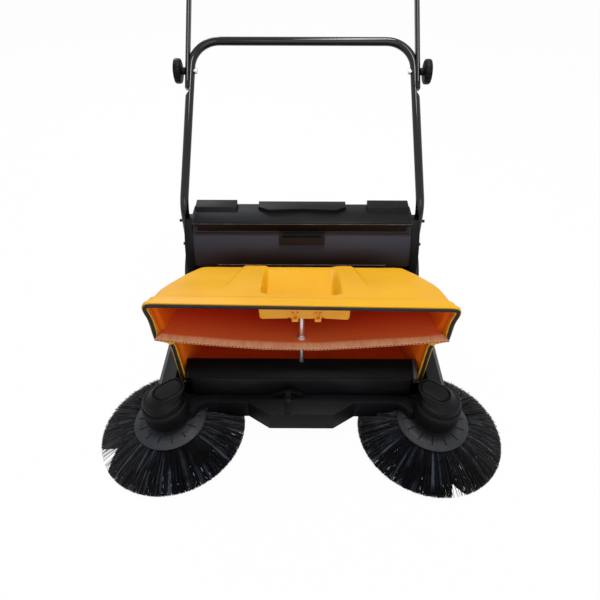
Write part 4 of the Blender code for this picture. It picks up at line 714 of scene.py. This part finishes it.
# painted shadow with painted red bounced light deeper in; the lit strip in front keeps the board's own tan
painted_shadow_red = board.mix(depth_in.between(0.020, 0.115), (0.78, 0.15, 0.035), (0.62, 0.045, 0.010))
# the noise wobbles the edge of the painted shadow
board.set(Base_Color=board.mix((depth_in + shadow_edge_wobble * 0.010).between(0.021, 0.027), lit, painted_shadow_red))
board.bumps(fibre, 0.0004, 0.5)
core = Finish("board_flutes", Roughness=0.9, Specular_IOR_Level=0.1)
# painted shade: the dark stripes stand for the shaded hollows between the flutes
phase = core.part(0) * 838.0 + core.noise(40.0, 2.0) * 5.0
flute = phase.maths("SINE", phase)
core.set(Base_Color=core.mix(flute.between(-0.5, 0.5), (0.018, 0.008, 0.004), (0.62, 0.33, 0.18)))


def board_layer(name, low, high, front):
    """One layer of the board, between two heights over the sheet's lower face."""
    across = np.linspace(-1, 1, 121)
    loops = []
    for back in np.linspace(front, 0.168, 25):
        half = np.interp(back, [0, 0.008, 0.022, 0.034], [0.3120, 0.3090, 0.2990, 0.2938])
        half = half if back < 0.034 else 0.2950 - 0.074 * (back / REACH) ** 2.3
        x = across * half
        z = sheet_height(across * 0.300, back) - 0.002
        upper = np.stack([x, np.full(len(x), LIP - 0.006 + back), z + high], axis=1)
        lower = np.stack([x, np.full(len(x), LIP - 0.006 + back), z + low], axis=1)
        loops.append(np.concatenate([upper, lower[::-1]]))
    return skinned(name, loops)


top_liner = board_layer("top_liner", 0.0036, 0.0042, 0.0)
bottom_liner = board_layer("bottom_liner", 0.0, 0.0006, 0.0)
only(top_liner, bottom_liner)
bpy.ops.object.join()
dress(smooth(top_liner, 30), board, "hopper", "cardboard", "packing_sheet")
board_core = board_layer("board_core", 0.0005, 0.0037, 0.0003)
dress(smooth(board_core, 30), core, "hopper", "cardboard", "packing_sheet")


# The brush bosses: each arm ends over its brush in a stepped, round-shouldered dome, closed on top by a
# flat-oval cap that sits in a deep groove. The dome stands for the arm's moulding, the cap for its cover.
def dome_ring(share, radius, inset, height, inward):
    """Goes from a circle about the brush's axis to the cap's oval, which is turned and set back from it."""
    a = np.linspace(0, 2 * math.pi, 128, endpoint=False)
    circle_part = np.stack([radius * np.cos(a), radius * np.sin(a)], axis=1)
    turn = inward * math.radians(36)
    b = a - turn
    half = 0.0112 * np.tanh(np.cos(b) * 6.0)
    local = np.stack([half + (0.0256 - inset) * np.cos(b), (0.0256 - inset) * np.sin(b)], axis=1)
    spin = np.array([[math.cos(turn), -math.sin(turn)], [math.sin(turn), math.cos(turn)]])
    oval_part = local @ spin.T + (inward * 0.0145, 0.008)
    flat = (1 - share) * circle_part + share * oval_part
    return np.column_stack([flat, np.full(128, height)])


shoulders = [(0, 0.0500, 0, 0.070), (0, 0.0506, 0, 0.0720), (0, 0.0510, 0, 0.0990), (0, 0.0507, 0, 0.1030),
             (0, 0.0498, 0, 0.1062), (0, 0.0480, 0, 0.1085), (0, 0.0462, 0, 0.1092), (0, 0.0454, 0, 0.1088),
             (0, 0.0450, 0, 0.1096), (0, 0.0448, 0, 0.1130), (0, 0.0446, 0, 0.1168), (0, 0.0440, 0, 0.1202),
             (0, 0.0428, 0, 0.1228), (0, 0.0412, 0, 0.1242), (0, 0.0400, 0, 0.1244),
             (0.05, 0.0394, 0, 0.1238), (0.12, 0.0390, 0, 0.1244), (0.35, 0.0388, -0.001, 0.1272),
             (0.62, 0.0384, -0.001, 0.1312), (0.85, 0.0380, -0.001, 0.1350), (0.96, 0.0378, -0.001, 0.1370),
             (1, 0.038, -0.0006, 0.1384), (1, 0.038, 0.0004, 0.1396), (1, 0.038, 0.0018, 0.1401),
             (1, 0.038, 0.0030, 0.1396), (1, 0.038, 0.0036, 0.1380), (1, 0.038, 0.0040, 0.1362),
             (1, 0.038, 0.0054, 0.1358)]
cap_rings = [(1, 0.04, 0.0050, 0.1345), (1, 0.04, 0.0053, 0.1378), (1, 0.04, 0.0060, 0.1391),
             (1, 0.04, 0.0075, 0.1400), (1, 0.04, 0.0105, 0.1405), (1, 0.04, 0.0170, 0.1408)]
oval_cap = Finish("oval_cap_moulding", Specular_IOR_Level=0.10)
cap_cloud = oval_cap.noise(40.0, 3.0)
oval_cap.set(
    Base_Color=oval_cap.mix(cap_cloud.between(0.3, 0.7), (0.0026, 0.0026, 0.0030), (0.0050, 0.0050, 0.0056)),
    Roughness=0.5 + cap_cloud * 0.1,
)
oval_cap.bumps(oval_cap.noise(900.0, 2.0), 0.0001, 0.5)
for side, sign in SIDES:
    stand = brush_stand(sign)
    dome = skinned(side + "_boss_dome", [dome_ring(*ring, -sign) for ring in shoulders])
    dress(settle(smooth(dome, 32), stand), black_moulding, "chassis", "black_plastic", side + "_side_arm")
    cap = skinned(side + "_oval_cap", [dome_ring(*ring, -sign) for ring in cap_rings])
    dress(settle(smooth(cap, 32), stand), oval_cap, "chassis", "black_plastic", side + "_boss_cover")


# The roller housing behind the hopper: a bulged cover with a lid, a recessed band under the lid's lip, and
# a pull. It is black too. Its bulge carries a painted reflection of the yellow hopper, brown low down, and a
# painted bluish sheen higher up; the band under the lip is painted shade with a brown painted reflection,
# and light lines on the lip's edge and a low ledge are painted highlights.
housing_black = Finish("housing_black", Specular_IOR_Level=0.16)
height = housing_black.part(2)
housing_cloud = housing_black.noise(12.0, 4.0)
# painted reflection: brown low on the bulge, where the hopper is mirrored, and a painted bluish sheen higher
# up
mirrored = (height + housing_cloud * 0.02).between(0.262, 0.320)
bulge = housing_black.mix(mirrored, (0.0190, 0.0098, 0.0078), (0.0330, 0.0320, 0.0440))
crown = housing_black.mix(housing_cloud.between(0.3, 0.7), (0.0085, 0.0083, 0.0094), (0.0150, 0.0145, 0.0165))
# painted shade: the recess under the lid's lip is darkened, with a brown painted reflection of the hopper
under_lip = height.between(0.3175, 0.3185) * (1 - height.between(0.3440, 0.3460))
sideways = housing_black.part(0)
under_lip = under_lip * (1 - sideways.maths("ABSOLUTE", sideways).between(0.2670, 0.2685))
skin = housing_black.mix(height.between(0.330, 0.345), bulge, crown)
housing_black.set(
    Base_Color=housing_black.mix(under_lip * 0.8, skin, (0.0120, 0.0050, 0.0036)),
    Roughness=0.36 + housing_cloud * 0.14,
)
housing_black.bumps(housing_black.noise(900.0, 2.0) * 0.7 + housing_cloud * 0.3, 0.00012, 0.5)
# painted shade and painted reflection: a brown-black for the recessed band and the catch, which mirror the
# yellow hopper
band_shade_and_reflection = Finish("band_shade_and_bin_reflection", Specular_IOR_Level=0.12)
band_tone = band_shade_and_reflection.noise(14.0, 3.0, 0.5, (1, 4, 4))
band_shade_and_reflection.set(
    Base_Color=band_shade_and_reflection.mix(band_tone.between(0.3, 0.7), (0.0080, 0.0034, 0.0024),
                               (0.0150, 0.0066, 0.0046)),
    Roughness=0.42 + band_tone * 0.12,
)
band_shade_and_reflection.bumps(band_shade_and_reflection.noise(800.0, 2.0), 0.0001, 0.4)
# painted highlight: light lines along the lid's front edge and a ledge low on the housing
edge_highlight = Finish("edge_highlight", Specular_IOR_Level=0.4)
highlight_break = edge_highlight.noise(50.0, 5.0, 0.6)
edge_highlight.set(Base_Color=edge_highlight.mix(highlight_break.between(0.35, 0.75), (0.040, 0.035, 0.036),
                                       (0.120, 0.112, 0.115)),
              Roughness=0.3 + highlight_break * 0.2)
edge_highlight.bumps(highlight_break, 0.0001, 0.4)


def bar(name, low, high, width, finish, *stands_for):
    """A straight moulded strip between two corners, with rounded edges."""
    piece = add("cube", size=1, location=[(a + b) / 2 for a, b in zip(low, high)])
    piece.scale = [b - a for a, b in zip(low, high)]
    settle(piece)
    piece.name = name
    modified(piece, "BEVEL", width=width, segments=3)
    return dress(smooth(piece, 40), finish, "chassis", "black_plastic", *stands_for)


dress(rounded("roller_housing", 0.0015), housing_black, "chassis", "black_plastic", "roller_housing")
dress(rounded("housing_cover", 0.0035, 4), black_moulding, "chassis", "black_plastic", "housing_cover")
dress(rounded("front_catch", 0.001), band_shade_and_reflection, "chassis", "black_plastic", "front_catch")
slope = [(-0.0640, 0.3475), (-0.0640, 0.3500), (-0.0610, 0.3515), (-0.0280, 0.3598), (0.0130, 0.3600),
         (0.0130, 0.3500)]
lid = extruded(polyline("lid_slope", [(-0.2685, y, z) for y, z in slope]), (0.537, 0, 0))
bevelled(lid, 0.0012, 3, 25)
dress(smooth(lid, 30), black_moulding, "chassis", "black_plastic", "housing_cover")
# the band's face, coloured with the painted shade and reflection
bar("recessed_band", (-0.2600, -0.0610, 0.3220), (0.2600, -0.0540, 0.3470), 0.0012, band_shade_and_reflection,
    "roller_housing")
# these two strips carry the painted highlight lines
bar("lip_edge", (-0.2700, -0.0650, 0.3462), (0.2700, -0.0636, 0.3480), 0.0005, edge_highlight, "roller_housing")
bar("catch_slot", (-0.0480, -0.0850, 0.3225), (0.0480, -0.0670, 0.3286), 0.0008, oval_cap, "front_catch")
bar("housing_ledge", (-0.2130, -0.0972, 0.2460), (0.2130, -0.0935, 0.2480), 0.0006, edge_highlight,
    "roller_housing")


# The sill across the bin's lower mouth: a folded black plate, a cap at each end and a rubber flap below.
sill_black = Finish("sill_black", Specular_IOR_Level=0.08)
sill_wear = sill_black.noise(16.0, 5.0, 0.6, (1, 3, 3))
sill_black.set(
    Base_Color=sill_black.mix(sill_wear.between(0.4, 0.8), (0.0018, 0.0017, 0.0018),
                              (0.0040, 0.0038, 0.0042)),
    Roughness=0.38 + sill_wear * 0.14,
)
sill_black.bumps(sill_black.noise(800.0, 2.0), 0.0001, 0.4)
cap_grey = Finish("grey_caps", Specular_IOR_Level=0.4)
cap_tone = cap_grey.noise(70.0, 4.0)
cap_grey.set(
    Base_Color=cap_grey.mix(cap_tone.between(0.3, 0.7), (0.020, 0.020, 0.022), (0.040, 0.040, 0.043)),
    Roughness=0.45 + cap_tone * 0.1,
)
cap_grey.bumps(cap_tone, 0.0001, 0.4)
flap_rubber = Finish("flap_rubber", Specular_IOR_Level=0.2)
flap_tone_and_sheen = flap_rubber.noise(7.0, 4.0, 0.55, (1, 1, 2.5))
flap_fine = flap_rubber.noise(400.0, 2.0)
# the lighter bluish streaks are a painted sheen, over the rubber's own uneven tone
flap_rubber.set(
    Base_Color=flap_rubber.mix(flap_tone_and_sheen.between(0.35, 0.75), (0.0030, 0.0030, 0.0036),
                               (0.0075, 0.0078, 0.0100)),
    Roughness=0.34 + flap_tone_and_sheen * 0.20,
)
flap_rubber.bumps(flap_tone_and_sheen * 0.7 + flap_fine * 0.3, 0.0008, 0.35)
sill = rounded("hopper_sill", 0.0012)
sill.data.transform(Matrix.Diagonal((1.062, 1, 1, 1)))
for side, sign in SIDES:
    cap = rounded(side + "_sill_end", 0.0012)
    cap.data.transform(Matrix.Translation((sign * 0.0150, 0, 0)))
    # both caps are the same grey plastic; the left one gets the sill's black finish as painted shade
    dress(cap, cap_grey if side == "right" else sill_black, "hopper", "grey_plastic", side + "_sill_end")
dress(sill, sill_black, "hopper", "black_plastic", "hopper_sill")
dress(rounded("sill_flap", 0.0007), flap_rubber, "hopper", "black_rubber", "sill_flap")
dress(rounded("rear_flap", 0.0007), flap_rubber, "chassis", "black_rubber", "rear_flap")


# The push handle: a glossy black bent tube bolted to the end plates, and a flat-oval tube that folds on it.
# The lower tube is pressed flat where the upper legs lie on it; round ribbed knobs clamp the two together.
def bend(corners, radius, steps):
    """The corners of a bent tube, each turned through an arc."""
    corners = [Vector(c) for c in corners]
    path = [corners[0]]
    for before, corner, after in zip(corners, corners[1:], corners[2:]):
        arrive, leave = (corner - before).normalized(), (after - corner).normalized()
        turn = arrive.angle(leave)
        start = corner - arrive * radius * math.tan(turn / 2)
        aside = (leave - arrive * leave.dot(arrive)).normalized()
        for k in range(steps + 1):
            a = turn * k / steps
            path.append(start + arrive * radius * math.sin(a) + aside * radius * (1 - math.cos(a)))
    return path + [corners[-1]]


def finely(path, step):
    """The same path with no two points farther apart than the step."""
    fine = [path[0]]
    for before, after in zip(path, path[1:]):
        parts = max(1, math.ceil((after - before).length / step))
        fine += [before.lerp(after, k / parts) for k in range(1, parts + 1)]
    return fine


def tube(path, outline, normal):
    """Draws an outline along a path that stays flat to a normal, with a rounded edge at both ends."""
    rim = 0.0012
    normal = Vector(normal).normalized()
    loops = []
    for k, place in enumerate(path):
        run = (path[min(k + 1, len(path) - 1)] - path[max(k - 1, 0)]).normalized()
        aside = run.cross(normal).normalized()
        up = aside.cross(run)
        loops.append(np.array([place + aside * a + up * b for a, b in outline]))
    for end, run in ((0, (path[0] - path[1]).normalized()), (-1, (path[-1] - path[-2]).normalized())):
        middle = np.array(path[end])
        shrunk = [middle + (loops[end] - middle) * share + np.array(run) * grow
                  for share, grow in ((0.97, rim * 0.6), (0.88, rim))]
        loops = shrunk[::-1] + loops if end == 0 else loops + shrunk
    return loops


def flat_oval(thickness, width):
    """A flat-oval outline: two half circles joined by flats, thick across and wide along."""
    half, reach = thickness / 2, (width - thickness) / 2
    top = [(half * math.cos(a), reach + half * math.sin(a)) for a in np.linspace(0, math.pi, 12)]
    return top + [(-x, -y) for x, y in top]


gloss_black = Finish("gloss_black_paint", Specular_IOR_Level=0.12)
paint_tone = gloss_black.noise(22.0, 5.0, 0.6)
gloss_black.set(
    Base_Color=gloss_black.mix(paint_tone.between(0.4, 0.8), (0.0025, 0.0025, 0.0030),
                               (0.0050, 0.0050, 0.0060)),
    Roughness=0.09 + paint_tone * 0.08, Coat_Weight=0.5, Coat_Roughness=0.05,
)
gloss_black.bumps(gloss_black.noise(260.0, 3.0), 0.00008, 0.4)
PIVOT = Vector((0, 0.2149, 0.627))
ALONG = Vector((0, 0.233, 0.255)).normalized()
LEG_FACE = 0.2852
lower_corners = [(-0.2955, -0.0181, 0.240), (-0.2955, -0.0181, 0.372), (-0.2815, 0.2719, 0.684),
                 (0.2815, 0.2719, 0.684), (0.2955, -0.0181, 0.372), (0.2955, -0.0181, 0.240)]
lower_path = finely(bend(lower_corners, 0.070, 12), 0.006)
round_tube = [(0.0105 * math.cos(2 * math.pi * k / 36), 0.0105 * math.sin(2 * math.pi * k / 36))
              for k in range(36)]
loops = tube(lower_path, round_tube, (0, 1, 0.0001))
for loop in loops:
    along_leg = (loop - np.array(PIVOT)) @ np.array(ALONG)
    pressed = soft_step(along_leg, -0.062, -0.050) * (1 - soft_step(along_leg, 0.052, 0.064))
    x = loop[:, 0]
    loop[:, 0] = np.where(np.abs(x) > LEG_FACE, x + (np.sign(x) * LEG_FACE - x) * pressed, x)
dress(smooth(skinned("lower_tube", loops), 50), gloss_black, "chassis", "black_paint",
      "lower_handle_frame")
reach = 0.2913
top_bar = PIVOT + ALONG * 0.540
upper_path = finely(bend([(-reach, *(PIVOT - ALONG * 0.045).yz), (-reach, *top_bar.yz), (reach, *top_bar.yz),
                          (reach, *(PIVOT - ALONG * 0.045).yz)], 0.060, 14), 0.02)
loops = tube(upper_path, flat_oval(0.011, 0.022), ALONG.cross(Vector((1, 0, 0))))
dress(smooth(skinned("upper_tube", loops), 50), gloss_black, "upper_handle", "black_paint",
      "upper_handle")
foam = Finish("foam_rubber", Roughness=0.92, Specular_IOR_Level=0.2)
cells = foam.noise(700.0, 3.0, 0.7)
foam.set(Base_Color=foam.mix(cells.between(0.3, 0.7), (0.010, 0.010, 0.011), (0.024, 0.024, 0.026)))
foam.bumps(cells, 0.0005, 0.8)
grip = turned("grip", [(0.0116, -0.170), (0.0150, -0.170), (0.0160, -0.1685), (0.0160, 0.1685),
                       (0.0150, 0.170), (0.0116, 0.170)], 48, "X")
dress(smooth(settle(grip, Matrix.Translation(top_bar)), 40), foam, "upper_handle", "foam", "foam_grip")


def hoop(x, middle, radius, turn):
    """Points at angles about an axis along X, through a middle given as y and z."""
    y, z = middle
    return np.stack([np.full(len(turn), x), y + radius * np.cos(turn), z + radius * np.sin(turn)], axis=1)


# The clamp knobs: a ribbed disc on a short neck, with a dished outer face.
for side, sign in SIDES:
    loops = []
    for r, h, ribbed in ((0.0045, 0.2972, 0), (0.0088, 0.2972, 0), (0.0090, 0.2980, 0), (0.0092, 0.3035, 0),
                         (0.0115, 0.3055, 0), (0.0240, 0.3066, 0.3), (0.0282, 0.3080, 0.8),
                         (0.0298, 0.3110, 1), (0.0300, 0.3165, 1), (0.0298, 0.3205, 1),
                         (0.0284, 0.3232, 0.8), (0.0252, 0.3241, 0.4), (0.0215, 0.3236, 0),
                         (0.0190, 0.3222, 0), (0.0060, 0.3218, 0)):
        turn = np.linspace(0, 2 * math.pi, 144, endpoint=False)
        round_r = r - 0.0007 * ribbed * np.clip(np.cos(turn * 12) * 1.6 - 0.3, 0, 1)
        loops.append(hoop(sign * h, PIVOT.yz, round_r, turn))
    dress(smooth(skinned(side + "_knob", loops), 35), black_moulding, side + "_knob", "black_plastic",
          side + "_clamp_knob")

for node in ("left_clamp_bolt", "right_clamp_bolt"):
    dress(rounded(node, 0.0005), bright_steel, "chassis", "steel", node)
for side in ("left", "right"):
    for level in ("lower", "upper"):
        node = side + "_" + level + "_leg_bolt"
        dress(rounded(node, 0.0005), gloss_black, "chassis", "steel", node)


# Below and behind, out of the photo's sight: the wheels with their gears, the roller, its drive and the
# caster. The tyres are grey-black with a fine tread, the gears grey nylon, the pins zinc-plated steel.
nylon = Finish("grey_nylon", Specular_IOR_Level=0.4)
nylon_tone = nylon.noise(40.0, 4.0)
nylon.set(
    Base_Color=nylon.mix(nylon_tone.between(0.3, 0.7), (0.045, 0.047, 0.052), (0.075, 0.078, 0.085)),
    Roughness=0.42 + nylon_tone * 0.12,
)
nylon.bumps(nylon_tone, 0.0001, 0.4)
WHEEL_X = 0.302
WHEEL_AXIS = (0.0399, 0.12)
for side, sign in SIDES:
    spin = np.linspace(0, 2 * math.pi, 240, endpoint=False)
    loops = []
    for r, dx, tread in ((0.1062, -0.0105, 0), (0.1150, -0.0110, 0), (0.1180, -0.0095, 0.4),
                         (0.1196, -0.0070, 1), (0.1200, 0.0, 1), (0.1196, 0.0070, 1), (0.1180, 0.0095, 0.4),
                         (0.1150, 0.0110, 0), (0.1062, 0.0105, 0), (0.1060, 0.0, 0)):
        worn = r - 0.0016 * tread * (np.cos(spin * 60) > 0.45)
        loops.append(hoop(sign * WHEEL_X + dx, WHEEL_AXIS, worn, spin))
    dress(smooth(skinned(side + "_tread", loops + loops[:1], False), 35), rubber, side + "_wheel", "tyre",
          side + "_tyre")
    for node, width, finish, body, slot in (
            (side + "_wheel_rim", 0.0008, nylon, side + "_wheel", "grey_plastic"),
            (side + "_stub_axle", 0.0006, bright_steel, "chassis", "steel"),
            (side + "_layshaft", 0.0003, nylon, side + "_layshaft", "grey_plastic"),
            (side + "_brush_spindle", 0.0006, bright_steel, "chassis", "steel"),
            (side + "_roller_bearing", 0.0005, bright_steel, "chassis", "steel")):
        dress(rounded(node, width), finish, body, slot, node)
for node, width, finish, body, slot in (
        ("roller_core", 0.0008, nylon, "roller", "black_plastic"),
        ("roller_pinion", 0.0004, nylon, "roller", "grey_plastic"),
        ("caster_fork", 0.0008, bright_steel, "caster_swivel", "steel"),
        ("caster_axle", 0.0005, bright_steel, "caster_swivel", "steel"),
        ("caster_wheel", 0.0012, rubber, "caster_roll", "tyre")):
    dress(rounded(node, width), finish, body, slot, node)

ROWS = 22
PLANTS = 620
ROLLER_AXIS = (0, -0.017556, 0.109)
line = np.arange(ROWS).repeat(PLANTS)
x = chance.uniform(-0.259, 0.259, len(line))
turn = 2 * math.pi * line / ROWS + x * 2.4 + chance.normal(0, 0.035, len(line))
lean = turn + chance.normal(0, 0.050, len(line))
length = 0.1066 - np.abs(chance.normal(0, 0.0008, len(line)))
roots = np.stack([x, 0.0415 * np.cos(turn), 0.0415 * np.sin(turn)], axis=1) + ROLLER_AXIS
tips = np.stack([np.clip(x + chance.normal(0, 0.003, len(line)), -0.2615, 0.2615), length * np.cos(lean),
                 length * np.sin(lean)], axis=1) + ROLLER_AXIS
bows = np.stack([chance.normal(0, 0.0008, len(line)), -np.sin(turn) * 0.0012, np.cos(turn) * 0.0012], axis=1)
hair = planted(strand("roller_filament", 0.0008, 0.95, 2), roots, tips, bows, "roller_filaments")
dress(hair, filament, "roller", "bristle", "roller_bristles")
